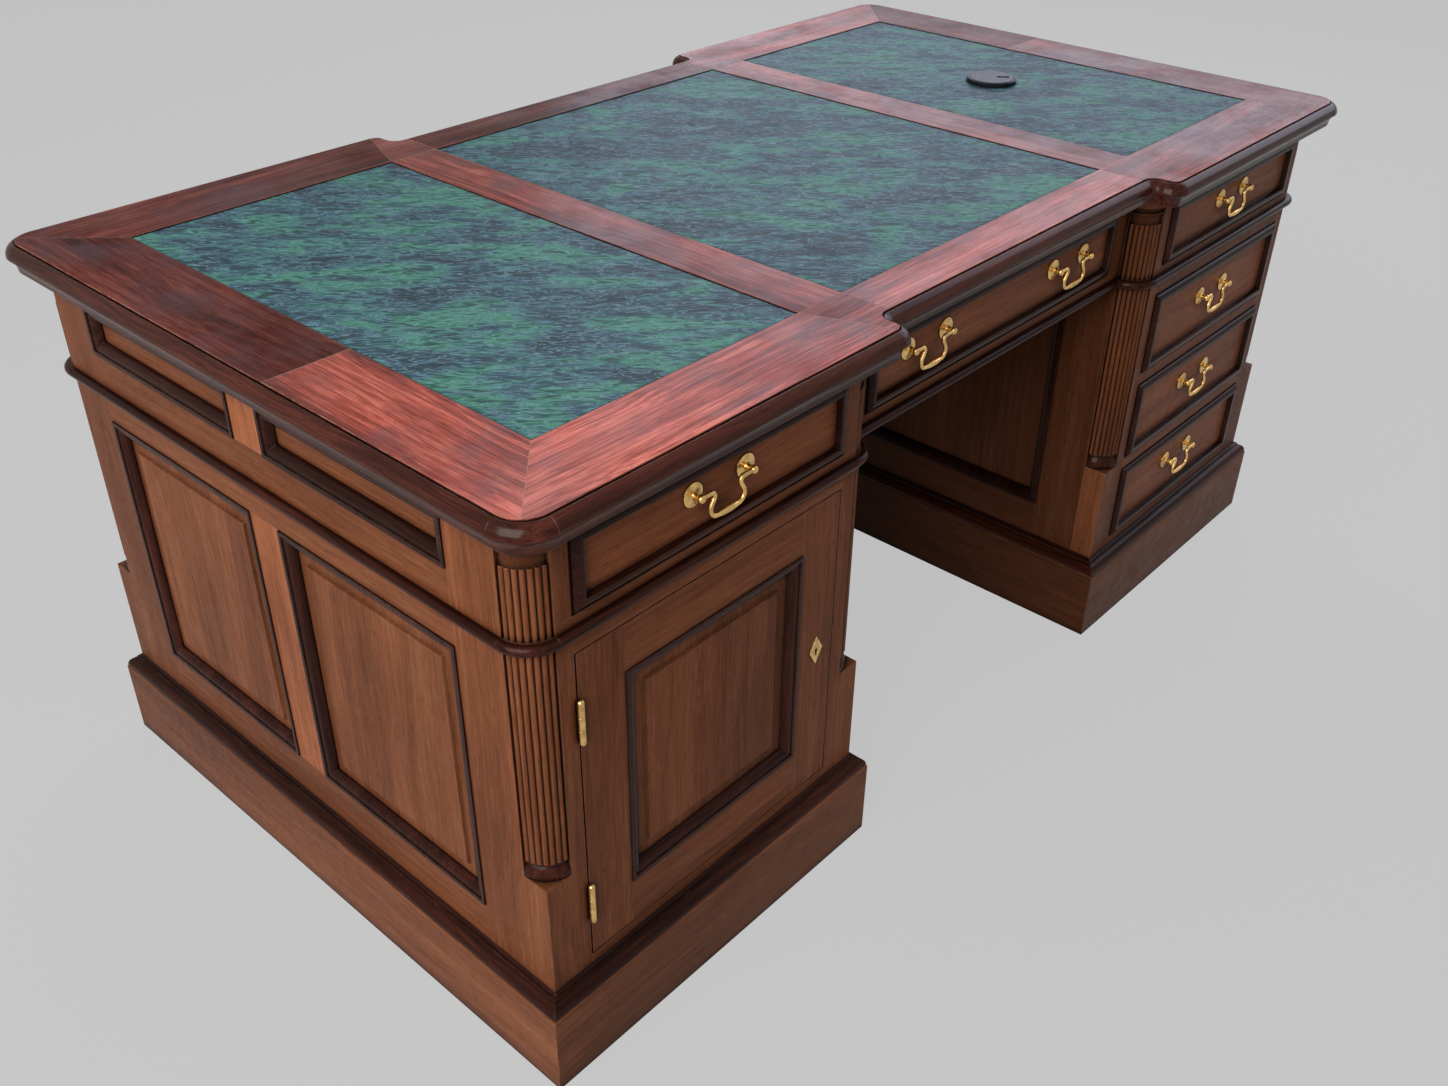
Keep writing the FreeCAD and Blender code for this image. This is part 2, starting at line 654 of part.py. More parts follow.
def framed_side(outer, inner, low, high, foot, head, muntin):
    """Stiles, rails and any muntin of one side frame that stands between two x values."""
    boards = [
        box(outer, inner, -FRAME_Y, -PANEL_Y, low, high),
        box(outer, inner, PANEL_Y, FRAME_Y, low, high),
        box(outer, inner, -PANEL_Y, PANEL_Y, low, low + foot),
        box(outer, inner, -PANEL_Y, PANEL_Y, high - head, high),
    ]
    if muntin:
        boards.append(box(outer, inner, -muntin / 2, muntin / 2, low + foot, high - head))
    return boards


def corner_post(corner_x, inward):
    """A front post: its plain face beside the column, and the square block under the column."""
    recess = corner_x + inward * COLUMN_RECESS
    edge = recess + inward * POST_FACE
    face = box(recess, edge, -OUT_Y, -FRAME_Y, PLINTH_TOP, PEDESTAL_TOP)
    block = box(corner_x, recess, -OUT_Y, -FRAME_Y, PLINTH_TOP, BLOCK_TOP)
    return face.fuse(block).removeSplitter()


def pedestal_shell():
    """The left pedestal's frames, posts, boards and the partition between its two halves."""
    frame_out = -OUT_X + FRAME_THICK
    frame_in = -IN_X - FRAME_THICK
    levels = (PLINTH_TOP, PEDESTAL_TOP, SIDE_FOOT_RAIL, SIDE_HEAD_RAIL)
    boards = framed_side(-OUT_X, frame_out, *levels, MUNTIN_WIDTH)
    boards += framed_side(frame_in, -IN_X, *levels, 0)
    front_posts = [corner_post(-OUT_X, 1), corner_post(-IN_X, -1)]
    back_posts = half_turn([corner_post(OUT_X, -1), corner_post(IN_X, 1)])
    boards += front_posts + back_posts
    half_partition = PARTITION_THICK / 2
    boards.append(box(frame_out, frame_in, -FRAME_Y, FRAME_Y, PLINTH_TOP, OPENING_LOW))
    boards.append(box(frame_out, frame_in, -FRAME_Y, FRAME_Y, OPENING_HIGH, PEDESTAL_TOP))
    boards.append(box(frame_out, frame_in, -half_partition, half_partition, OPENING_LOW, OPENING_HIGH))
    opening = (-PEDESTAL_X - OPENING_WIDTH / 2, -PEDESTAL_X + OPENING_WIDTH / 2)
    for front, back in ((-OUT_Y, -FRAME_Y), (OUT_Y, FRAME_Y)):
        boards.append(box(*opening, front, back, PLINTH_TOP, OPENING_LOW))
        boards.append(box(*opening, front, back, OPENING_HIGH, PEDESTAL_TOP))
    return boards


def drawer_guides(left_wall, left_edge, right_edge, right_wall, front, low):
    """Two guides that fill the space between a drawer's opening and the walls beside it."""
    back = -DRAWER_BACK_STOP
    high = low + GUIDE_HEIGHT
    return [
        box(left_wall, left_edge, front, back, low, high),
        box(right_edge, right_wall, front, back, low, high),
    ]


def stack_fittings():
    """Rails, runners and guides for the stack of drawers in the right pedestal's front half."""
    left_wall = IN_X + FRAME_THICK
    right_wall = OUT_X - FRAME_THICK
    left_edge = PEDESTAL_X - OPENING_WIDTH / 2
    right_edge = PEDESTAL_X + OPENING_WIDTH / 2
    back = -PARTITION_THICK / 2
    fittings = drawer_guides(left_wall, left_edge, right_edge, right_wall, -FRAME_Y, OPENING_LOW)
    for order in range(1, STACK_COUNT):
        high = OPENING_LOW + order * (STACK_OPENING + STACK_RAIL)
        low = high - STACK_RAIL
        fittings.append(box(left_edge, right_edge, -OUT_Y, -FRAME_Y, low, high))
        fittings.append(box(left_wall, left_edge + RUNNER_REACH, -FRAME_Y, back, low, high))
        fittings.append(box(right_edge - RUNNER_REACH, right_wall, -FRAME_Y, back, low, high))
        fittings += drawer_guides(left_wall, left_edge, right_edge, right_wall, -FRAME_Y, high)
    return fittings


def frieze_front():
    """The frieze's front half-frame over the left pedestal: rails, posts, guides and dust board."""
    edge_out = -PEDESTAL_X - OPENING_WIDTH / 2
    edge_in = -PEDESTAL_X + OPENING_WIDTH / 2
    frame_out = -OUT_X + FRAME_THICK
    frame_in = -IN_X - FRAME_THICK
    boards = [
        box(edge_out - POST_FACE, edge_in + POST_FACE, -OUT_Y, -FRAME_Y, PEDESTAL_TOP, FRIEZE_LOW),
        box(edge_out - POST_FACE, edge_out, -OUT_Y, -FRAME_Y, FRIEZE_LOW, TOP_UNDER),
        box(edge_in, edge_in + POST_FACE, -OUT_Y, -FRAME_Y, FRIEZE_LOW, TOP_UNDER),
        box(edge_out, edge_in, -OUT_Y, -FRAME_Y, FRIEZE_HIGH, TOP_UNDER),
    ]
    return boards + drawer_guides(frame_out, edge_out, edge_in, frame_in, -FRAME_Y, FRIEZE_LOW)


def frieze_centre():
    """The frieze's front frame over the kneehole, set back by the break."""
    face = -CENTRE_Y
    back = face + COLUMN_RECESS
    edge = IN_X - CENTRE_STILE
    boards = [
        box(-IN_X, IN_X, face, back, PEDESTAL_TOP, FRIEZE_LOW),
        box(-IN_X, -edge, face, back, FRIEZE_LOW, TOP_UNDER),
        box(edge, IN_X, face, back, FRIEZE_LOW, TOP_UNDER),
        box(-edge, edge, face, back, FRIEZE_HIGH, TOP_UNDER),
    ]
    return boards + drawer_guides(-IN_X, -edge, edge, IN_X, back, FRIEZE_LOW)


def frieze_frame():
    """End frames, walls beside the kneehole, front frames and dust boards between the waist and the top."""
    frame_out = -OUT_X + FRAME_THICK
    frame_in = -IN_X - FRAME_THICK
    right_front = placed(frieze_front(), 2 * PEDESTAL_X)
    boards = frieze_front() + right_front + frieze_centre()
    levels = (PEDESTAL_TOP, TOP_UNDER, FRIEZE_END_FOOT, FRIEZE_END_HEAD)
    boards += framed_side(-OUT_X, frame_out, *levels, MUNTIN_WIDTH)
    boards.append(box(frame_in, -IN_X, -FRAME_Y, FRAME_Y, PEDESTAL_TOP, TOP_UNDER))
    boards.append(box(frame_out, frame_in, -FRAME_Y, FRAME_Y, FRIEZE_LOW - DUST_BOARD, FRIEZE_LOW))
    dust_y = CENTRE_Y - COLUMN_RECESS
    dust = box(-IN_X, IN_X, -dust_y, dust_y, FRIEZE_LOW - DUST_BOARD, FRIEZE_LOW)
    return both_sides(boards) + [dust]


def panel_openings():
    """Each panelled opening of the left half: face x, facing angle, middle y, width, low, high, fielded."""
    low = PLINTH_TOP + SIDE_FOOT_RAIL
    high = PEDESTAL_TOP - SIDE_HEAD_RAIL
    frieze_low = PEDESTAL_TOP + FRIEZE_END_FOOT
    frieze_high = TOP_UNDER - FRIEZE_END_HEAD
    width = PANEL_Y - MUNTIN_WIDTH / 2
    middle = (PANEL_Y + MUNTIN_WIDTH / 2) / 2
    openings = [(-IN_X, 90, 0, 2 * PANEL_Y, low, high, False)]
    for y in (-middle, middle):
        openings.append((-OUT_X, -90, y, width, low, high, True))
        openings.append((-OUT_X, -90, y, width, frieze_low, frieze_high, False))
    return openings


def side_panels():
    """Fielded panels in the pedestals' ends, flat ones in the frieze's ends and beside the kneehole."""
    panels = []
    for face_x, angle, y, width, low, high, fielded in panel_openings():
        panel = fielded_panel(width, high - low) if fielded else flat_panel(width, high - low)
        inward = 1 if face_x == -OUT_X else -1
        panels += placed([panel], face_x + inward * PANEL_SINK, y, (low + high) / 2, angle)
    return both_sides(panels)


def panel_mouldings():
    """A mitred moulding round every side panel."""
    strips = []
    for face_x, angle, y, width, low, high, fielded in panel_openings():
        strips += placed(panel_moulding(width, high - low), face_x, y, (low + high) / 2, angle)
    return both_sides(strips)


def frieze_mouldings():
    """The half-round waist bead and the small cornice, each carried round the columns."""
    plan = breakfront(OUT_X, OUT_Y, IN_X, CENTRE_Y, COLUMN_RECESS, COLUMN_RECESS, 0)
    bead = [
        (0, PEDESTAL_TOP), (BEAD_FLAT, PEDESTAL_TOP), (BEAD_FLAT, BEAD_TOP, BEAD_BULGE_SHARE), (0, BEAD_TOP),
    ]
    cornice = [
        (0, CORNICE_LOW), (CORNICE_FOOT, CORNICE_LOW),
        (CORNICE_OUT, TOP_UNDER - CORNICE_LIP, CORNICE_HOLLOW_SHARE),
        (CORNICE_OUT, TOP_UNDER), (0, TOP_UNDER),
    ]
    return moulding_ring(plan, bead) + moulding_ring(plan, cornice)


def plinths():
    """Four mitred plinth boards with a moulded head under each pedestal."""
    plan = [(-OUT_X, -OUT_Y, 0), (-IN_X, -OUT_Y, 0), (-IN_X, OUT_Y, 0), (-OUT_X, OUT_Y, 0)]
    steps = [
        (-PLINTH_SEAT, 0), (PLINTH_OUT, 0), (PLINTH_OUT, PLINTH_BOARD - PLINTH_ARRIS),
        (PLINTH_OUT - PLINTH_ARRIS, PLINTH_BOARD), (PLINTH_STEP_OUT, PLINTH_STEP_LOW, PLINTH_OVOLO_SHARE),
        (PLINTH_STEP_OUT, PLINTH_STEP_HIGH), (PLINTH_FILLET_OUT, PLINTH_STEP_HIGH),
        (0, PLINTH_TOP, PLINTH_HOLLOW_SHARE), (-PLINTH_SEAT, PLINTH_TOP),
    ]
    return both_sides(moulding_ring(plan, steps))


def drawer(width, height, depth):
    """A drawer with its front's face on y = 0 and its front's bottom edge on z = 0."""
    half = width / 2
    side = half - DRAWER_SIDE_INSET
    inside = side - DRAWER_SIDE
    low = RUN_GAP - FRONT_GAP
    high = height - DRAWER_SIDE_DROP
    back = depth - DRAWER_SIDE
    boards = [
        box(-half, half, 0, FRONT_THICK, 0, height),
        box(-side, -inside, FRONT_THICK, depth, low, high),
        box(inside, side, FRONT_THICK, depth, low, high),
        box(-inside, inside, back, depth, DRAWER_BOTTOM_RISE, high),
        box(-inside, inside, FRONT_THICK, back, DRAWER_BOTTOM_RISE, DRAWER_BOTTOM_RISE + DRAWER_BOTTOM),
    ]
    strips = drawer_moulding(width - 2 * DRAWER_MOULD_INSET, height - 2 * DRAWER_MOULD_INSET)
    return boards + placed(strips, 0, 0, height / 2)


def handle_post():
    """A dished round backplate with a ball-ended post, bored from the left for the bail."""
    steps = [
        (0, 0), (ROSETTE_RADIUS, 0), (ROSETTE_RADIUS, ROSETTE_EDGE), (ROSETTE_DISH, ROSETTE_DISH_RISE),
        (POST_RADIUS, ROSETTE_DISH), (POST_RADIUS, HANDLE_STAND), (0, HANDLE_STAND),
    ]
    ball = Part.makeSphere(BALL_RADIUS, VEC(0, 0, HANDLE_STAND))
    post = section(steps).revolve(ORIGIN, UP, 360).fuse(ball)
    post.rotate(ORIGIN, ALONG, 90)
    mouth = VEC(-BALL_RADIUS - OVERRUN, -HANDLE_STAND, 0)
    reach = BALL_RADIUS + OVERRUN + 2 * PIN_REACH
    return post.cut(Part.makeCylinder(ROD_RADIUS + PIN_GAP, reach, mouth, ALONG)).Solids[0]


def handle_posts():
    """The pair of posts that carries one bail."""
    right = handle_post()
    left = right.copy()
    left.rotate(ORIGIN, INTO, 180)
    return placed([left], -HANDLE_CENTRES / 2) + placed([right], HANDLE_CENTRES / 2)


def bail():
    """A hanging swan-neck bail: necks that bend in and then lean out, wide bends and a swelled grip."""
    tip = HANDLE_CENTRES / 2 + PIN_REACH
    lean = math.radians(NECK_LEAN)
    neck_centre = VEC(HANDLE_CENTRES / 2 - NECK_REACH, 0, -NECK_BEND)
    inward = VEC(-math.cos(lean), 0, -math.sin(lean))
    lower_turn = (math.radians(90) + lean) / 2
    neck_end = neck_centre + inward * NECK_BEND
    slope = (BAIL_DROP + neck_end.z - GRIP_BEND * (1 + math.sin(lean))) / math.cos(lean)
    leg_end = neck_end + VEC(math.sin(lean), 0, -math.cos(lean)) * slope
    grip_centre = leg_end + inward * GRIP_BEND
    neck_middle = neck_centre + VEC(-math.sin(lower_turn), 0, math.cos(lower_turn)) * NECK_BEND
    grip_middle = grip_centre + VEC(math.sin(lower_turn), 0, -math.cos(lower_turn)) * GRIP_BEND
    points = [
        VEC(tip, 0, 0), VEC(neck_centre.x, 0, 0), neck_end, leg_end, VEC(grip_centre.x, 0, -BAIL_DROP),
    ]
    edges = [
        Part.LineSegment(points[0], points[1]).toShape(),
        Part.Arc(points[1], neck_middle, points[2]).toShape(),
        Part.LineSegment(points[2], points[3]).toShape(),
        Part.Arc(points[3], grip_middle, points[4]).toShape(),
    ]
    ring = Part.Face(Part.Wire(Part.makeCircle(ROD_RADIUS, points[0], ALONG)))
    right = Part.Wire(edges).makePipe(ring)
    left = right.copy()
    left.rotate(ORIGIN, UP, 180)
    reach = grip_centre.x
    swell_share = (GRIP_RADIUS - ROD_RADIUS) / (2 * reach)
    grip = section([(0, -reach), (ROD_RADIUS, -reach), (ROD_RADIUS, reach, swell_share), (0, reach)])
    grip = grip.revolve(ORIGIN, UP, 360)
    grip.rotate(ORIGIN, INTO, 90)
    grip.translate(VEC(0, 0, -BAIL_DROP))
    swing = grip.multiFuse([right, left])
    return placed(swing.Solids, 0, -HANDLE_STAND)


def door():
    """A framed door with a fielded panel, facing front and centred on its face."""
    half_width = DOOR_WIDTH / 2
    half_height = DOOR_HEIGHT / 2
    inner = half_width - DOOR_STILE
    head = half_height - DOOR_HEAD
    foot = DOOR_FOOT - half_height
    boards = [
        box(-half_width, -inner, 0, DOOR_THICK, -half_height, half_height),
        box(inner, half_width, 0, DOOR_THICK, -half_height, half_height),
        box(-inner, inner, 0, DOOR_THICK, head, half_height),
        box(-inner, inner, 0, DOOR_THICK, -half_height, foot),
    ]
    middle = (head + foot) / 2
    boards += placed([fielded_panel(2 * inner, head - foot)], 0, PANEL_SINK, middle)
    return boards + placed(panel_moulding(2 * inner, head - foot), 0, 0, middle)


def hinge_leaf(side, tongues, bore, pin):
    """One leaf on the hinge's axis: plate, knuckles between shares of its height, and a bore or a pin."""
    low = -HINGE_HEIGHT / 2
    near = HINGE_GAP / 2 - LEAF_THICK
    plate_start = KNUCKLE_RADIUS + KNUCKLE_CLEAR
    leaf = box(side * near, side * HINGE_GAP / 2, plate_start, plate_start + LEAF_DEPTH, low, -low)
    for start_share, end_share in tongues:
        start = low + start_share * HINGE_HEIGHT + KNUCKLE_SPACE / 2
        end = low + end_share * HINGE_HEIGHT - KNUCKLE_SPACE / 2
        tongue = box(side * near, side * HINGE_GAP / 2, 0, plate_start, start, end)
        knuckle = Part.makeCylinder(KNUCKLE_RADIUS, end - start, VEC(0, 0, start))
        leaf = leaf.multiFuse([tongue, knuckle])
    rod = Part.makeCylinder(pin, HINGE_HEIGHT - 2 * KNUCKLE_SPACE, VEC(0, 0, low + KNUCKLE_SPACE))
    leaf = leaf.cut(rod) if bore else leaf.fuse(rod)
    return leaf.removeSplitter().Solids[0]


def fixed_leaf():
    """The leaf on the post, with the outer knuckles, their domed ends and the pin."""
    outer_shares = ((0, 1 / 3), (2 / 3, 1))
    end = HINGE_HEIGHT / 2 - KNUCKLE_SPACE / 2
    domes = [Part.makeSphere(KNUCKLE_RADIUS, VEC(0, 0, level)) for level in (-end, end)]
    leaf = hinge_leaf(-1, outer_shares, False, HINGE_PIN).multiFuse(domes)
    return leaf.removeSplitter().Solids[0]


def moving_leaf():
    """The leaf on the door, with the middle knuckle."""
    middle_shares = ((1 / 3, 2 / 3),)
    return hinge_leaf(1, middle_shares, True, HINGE_PIN + HINGE_PIN_GAP)


def hinged(leaf):
    """A hinge leaf at both levels of the front door."""
    leaves = []
    for level in HINGE_LEVELS:
        leaves += placed([leaf], HINGE_X, HINGE_Y, level)
    return leaves


def escutcheon():
    """A diamond plate with a keyhole, on the door's closing stile."""
    corners = [
        VEC(0, 0, -ESCUTCHEON_HALF_HEIGHT), VEC(ESCUTCHEON_HALF_WIDTH, 0, 0),
        VEC(0, 0, ESCUTCHEON_HALF_HEIGHT), VEC(-ESCUTCHEON_HALF_WIDTH, 0, 0),
    ]
    plate = Part.Face(Part.makePolygon(corners + corners[:1])).extrude(VEC(0, -ESCUTCHEON_THICK, 0))
    eye = Part.makeCylinder(KEYHOLE_RADIUS, ESCUTCHEON_THICK + 2 * OVERRUN, VEC(0, OVERRUN, 0), INTO * -1)
    slot = box(-KEYHOLE_SLOT / 2, KEYHOLE_SLOT / 2, OVERRUN, -ESCUTCHEON_THICK - OVERRUN, -KEYHOLE_DROP, 0)
    plate = plate.cut(eye.fuse(slot)).Solids[0]
    return placed([plate], DOOR_X + DOOR_WIDTH / 2 - ESCUTCHEON_INSET, -OUT_Y, DOOR_Z)


def fixed_nodes():
    """Everything that stays still, by name."""
    shell = pedestal_shell()
    stack = stack_fittings()
    spans = leather_spans()
    grounds = [ground(span) for span in spans.values()]
    grounds[-1] = grommet_hole(grounds[-1])
    return {
        "top_rails": top_rails(),
        "top_edge": top_edge(),
        "top_ground": grounds,
        "leather_left": [leather(spans["left"])],
        "leather_centre": [leather(spans["centre"])],
        "leather_right": [grommet_hole(leather(spans["right"]))],
        "grommet_liner": grommet_liner(),
        "frieze_frame": frieze_frame(),
        "frieze_mouldings": frieze_mouldings(),
        "pedestal_left": shell + half_turn(stack),
        "pedestal_right": half_turn(shell) + stack,
        "columns": columns(),
        "side_panels": side_panels(),
        "panel_mouldings": panel_mouldings(),
        "plinths": plinths(),
        "hinge_leaves": both_sides(hinged(fixed_leaf())),
    }


def drawer_nodes():
    """Each drawer of the front, its brass and its bails, and the same on the other side."""
    posts = handle_posts()
    swing = bail()
    nodes = {}
    for name, (x, face_y, low, opening_height, opening_width, handles) in DRAWER_PLACES.items():
        width = opening_width - 2 * FRONT_GAP
        height = opening_height - 2 * FRONT_GAP
        face = FRONT_SINK - face_y
        bottom = low + FRONT_GAP
        level = bottom + height / 2 + HANDLE_RAISE
        work = {name + "_drawer": placed(drawer(width, height, -face - DRAWER_BACK_STOP), x, face, bottom)}
        brass = []
        for offset in handles:
            side = {-1: "left_", 0: "", 1: "right_"}[(offset > 0) - (offset < 0)]
            brass += placed(posts, x + offset, face, level)
            work[name + "_" + side + "bail"] = placed(swing, x + offset, face, level)
        work[name + "_drawer_brass"] = brass
        for key, solids in work.items():
            nodes["front_" + key] = solids
            nodes["back_" + key] = half_turn(solids)
    return nodes


def door_nodes():
    """The front cupboard door and its brass, and the same on the other side."""
    leaf = placed(door(), DOOR_X, -OUT_Y, DOOR_Z)
    brass = hinged(moving_leaf()) + escutcheon()
    return {
        "front_door": leaf,
        "back_door": half_turn(leaf),
        "front_door_brass": brass,
        "back_door_brass": half_turn(brass),
    }


def write_nodes():
    """Write each named group of solids as one STEP file."""
    os.makedirs("parts", exist_ok=True)
    nodes = {**fixed_nodes(), "grommet_cap": grommet_cap(), **drawer_nodes(), **door_nodes()}
    for name, solids in nodes.items():
        Part.makeCompound(solids).exportStep("parts/" + name + ".step")
    print(len(nodes), "nodes written")


write_nodes()
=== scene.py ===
import math

import bpy
from mathutils import Matrix, Vector, noise


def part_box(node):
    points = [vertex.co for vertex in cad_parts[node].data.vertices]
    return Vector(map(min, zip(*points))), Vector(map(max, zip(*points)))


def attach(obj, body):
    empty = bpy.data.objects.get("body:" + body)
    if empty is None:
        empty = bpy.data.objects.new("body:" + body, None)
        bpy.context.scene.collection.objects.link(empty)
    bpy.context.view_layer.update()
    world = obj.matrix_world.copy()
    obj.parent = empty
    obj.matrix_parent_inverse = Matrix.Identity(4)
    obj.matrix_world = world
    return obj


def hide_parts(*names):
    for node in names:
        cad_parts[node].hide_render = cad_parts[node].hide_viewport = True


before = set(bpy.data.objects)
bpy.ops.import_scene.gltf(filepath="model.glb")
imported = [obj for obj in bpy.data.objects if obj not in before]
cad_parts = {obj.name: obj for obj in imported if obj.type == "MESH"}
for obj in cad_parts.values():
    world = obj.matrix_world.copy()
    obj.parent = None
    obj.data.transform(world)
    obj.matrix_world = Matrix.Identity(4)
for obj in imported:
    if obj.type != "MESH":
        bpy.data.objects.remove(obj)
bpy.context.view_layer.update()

bl_info = {
    "name": "Partners Desk Finish",
    "version": (1, 0, 0),
    "blender": (4, 5, 0),
    "location": "3D View > Sidebar > Desk",
    "description": "Finishes a mahogany partners desk with leather, brass and a studio stage",
    "category": "Object",
}

SIDES = ("front", "back")
DRAWERS = ("left", "centre", "right", "lower", "middle", "upper")
BAILS = ("left", "centre_left", "centre_right", "right", "lower", "middle", "upper")
HIDES = ("left", "centre", "right")

# Sizes and heights of the desk's details that the frame doesn't give, in metres
END_JOINT_Y = 0.085
BREAK_DEPTH = 0.040
COLUMN_RECESS = 0.036
POST_FACE = 0.022
STILE_WIDTH = 0.076
MUNTIN_WIDTH = 0.058
CENTRE_STILE = 0.032
CENTRE_RAIL = 0.024
SIDE_PANEL_LOW = 0.197
SIDE_PANEL_HIGH = 0.570
FRIEZE_PANEL_LOW = 0.665
FRIEZE_PANEL_HIGH = 0.728
FRONT_THICK = 0.0255
DRAWER_MOULD = 0.0078
PANEL_MOULD = 0.018
PANEL_DEPTH = 0.0117
DOOR_STILE = 0.065
DOOR_FOOT = 0.065
DOOR_HEAD = 0.060
BASE_TOP = 0.325
REEDS_TOP = 0.704
PLINTH_BOARD = 0.117
WAIST_TOP = 0.640
ESCUTCHEON_HALF = 0.012
KEYHOLE_RADIUS = 0.0027
KEYHOLE_DROP = 0.0081
# Half width and half height of the painted shade behind the escutcheon's keyhole
KEYHOLE_SHADE_X = 0.005
KEYHOLE_SHADE_Z = 0.011
HIDE_HOLE = 0.0382

# Depth of the walls that get the kneehole's painted shade, and the slack in telling faces apart, in metres
KNEEHOLE_SHADE = 0.1
FACE_SLACK = 0.001
WALL_SLACK = 0.003

# Sideways run of the outer joint of the blocks at the breaks, for each metre towards the front
BLOCK_LEAN = 0.383

# Places on the desk that tell one board from the next, in metres
HIDE_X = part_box("leather_right")[1].x
HIDE_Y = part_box("leather_right")[1].y
CENTRE_HIDE_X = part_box("leather_centre")[1].x
SIDE_HIDE_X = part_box("leather_right")[0].x
EDGE_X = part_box("top_edge")[1].x
EDGE_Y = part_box("top_edge")[1].y
CASE_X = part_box("pedestal_right")[1].x
CASE_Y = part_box("pedestal_left")[1].y
KNEEHOLE_X = -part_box("pedestal_left")[1].x
FRIEZE_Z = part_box("frieze_frame")[0].z
DOOR_LOW, DOOR_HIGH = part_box("front_door")
KEYHOLE_X = -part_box("front_door_brass")[1].x + ESCUTCHEON_HALF
KEYHOLE_Z = (DOOR_LOW.z + DOOR_HIGH.z) / 2
GROMMET = (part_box("grommet_liner")[0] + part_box("grommet_liner")[1]) / 2

# Shares of a finish's colours for each shade of board: they give boards their own tones, and the dark and
# light copies also paint shade on the kneehole's and keyholes' walls and sheen on the drawer fronts; and the
# tones of the mouldings
BOARD_TONES_AND_SHADING = {"light": 1.5, "plain": 1.0, "deep": 0.85, "dark": 0.5}
MOULD_TONES = (0.5, 1.0, 2.0)

# Half widths of the lines where the top's rails meet, as shares of the joint's width
MITRE_LINE = 0.7
PLAIN_LINE = 0.5
BLOCK_LINE = 0.3

# Scales of the layers of a grain, along it and across it, per metre
SWAY = (2.2, 6.0)
RIBBON = (1.3, 24.0)
STREAK = (5.0, 160.0)
HAIR = (18.0, 640.0)
PORE = (60.0, 1100.0)
CLOUD = (2.0, 6.0)
LINING_STREAK = (3.0, 90.0)

# Sideways swing of a grain, in metres, and the shift that gives each finish its own figure
SWAY_WIDTH = 0.04
SEED_STEP = (0.37, 0.61, 0.23)

# Scales of the other textures along each axis, per metre
CHIPS = (60.0, 60.0, 60.0)
HAZE = (7.0, 7.0, 7.0)
DULLNESS = (9.0, 9.0, 9.0)
LINING_STAIN = (5.0, 5.0, 5.0)
HIDE_PATCH = (7.0, 15.0, 10.0)
HIDE_DRIFT = (24.0, 60.0, 40.0)
HIDE_RIPPLE = (40.0, 130.0, 80.0)
HIDE_GLINT = (150.0, 520.0, 300.0)
RIM_RUB = (140.0, 140.0, 300.0)
BRASS_RUB = (240.0, 240.0, 900.0)
BRASS_CLOUD = (90.0, 90.0, 90.0)
PLASTIC_DUST = (170.0, 170.0, 170.0)

# Reach of the painted shade in corners, in gaps and in the lining's corners, and of tarnish from a corner, in
# metres
CORNER_SHADE_REACH = 0.040
GAP_SHADE_REACH = 0.010
LINING_SHADE_REACH = 0.030
TARNISH_REACH = 0.006

# Radius of the brass's eased edges and heights of the fine relief, in metres
BRASS_EDGE = 0.0008
GRAIN_RELIEF = 0.0004
RIM_RELIEF = 0.0003
FINE_RELIEF = 0.0002

# Unevenness of the hides: its scale per metre and its slice of the noise
SWELL_SCALE = 18.0
SWELL_SLICE = 0.5

# Drop of the hides' rolled edge, as a share of its width
ROLL_DROP = 0.7

# Floor's half width in metres, the share of it that is seen as even background, and its roughness
FLOOR_REACH = 40.0
FLOOR_GLOW = 0.90
FLOOR_ROUGHNESS = 0.9

# Width of the camera's sensor, in millimetres
SENSOR_WIDTH = 36.0

# Studio lamps: name, place, point they face, width and height, tint
LAMPS = (
    ("left", (-3.2, -0.9, 2.4), (-0.6, 0.0, 0.4), (2.6, 2.6), (1.0, 0.97, 0.93)),
    ("strip", (1.6, 1.45, 3.26), (-0.8, -0.45, 0.7), (2.8, 0.25), (0.86, 0.88, 1.0)),
    ("far", (3.7, 0.8, 2.8), (0.0, 0.0, 0.78), (6.6, 2.6), (0.78, 0.80, 1.0)),
)


def colour(name, description, default):
    """A colour property of a finish."""
    return bpy.props.FloatVectorProperty(
        name=name, description=description, default=default, subtype="COLOR", size=3, min=0.0, max=1.0
    )


def factor(name, description, default):
    """A property from 0 to 1."""
    return bpy.props.FloatProperty(
        name=name, description=description, default=default, min=0.0, max=1.0, subtype="FACTOR"
    )


def length(name, description, default):
    """A length property in metres."""
    return bpy.props.FloatProperty(
        name=name, description=description, default=default, min=0.0, precision=4, unit="LENGTH"
    )


def turn(name, description, degrees):
    """An angle property."""
    return bpy.props.FloatProperty(
        name=name, description=description, default=math.radians(degrees), unit="ROTATION"
    )


def power(name, description, default):
    """A light's power."""
    return bpy.props.FloatProperty(name=name, description=description, default=default, min=0.0)


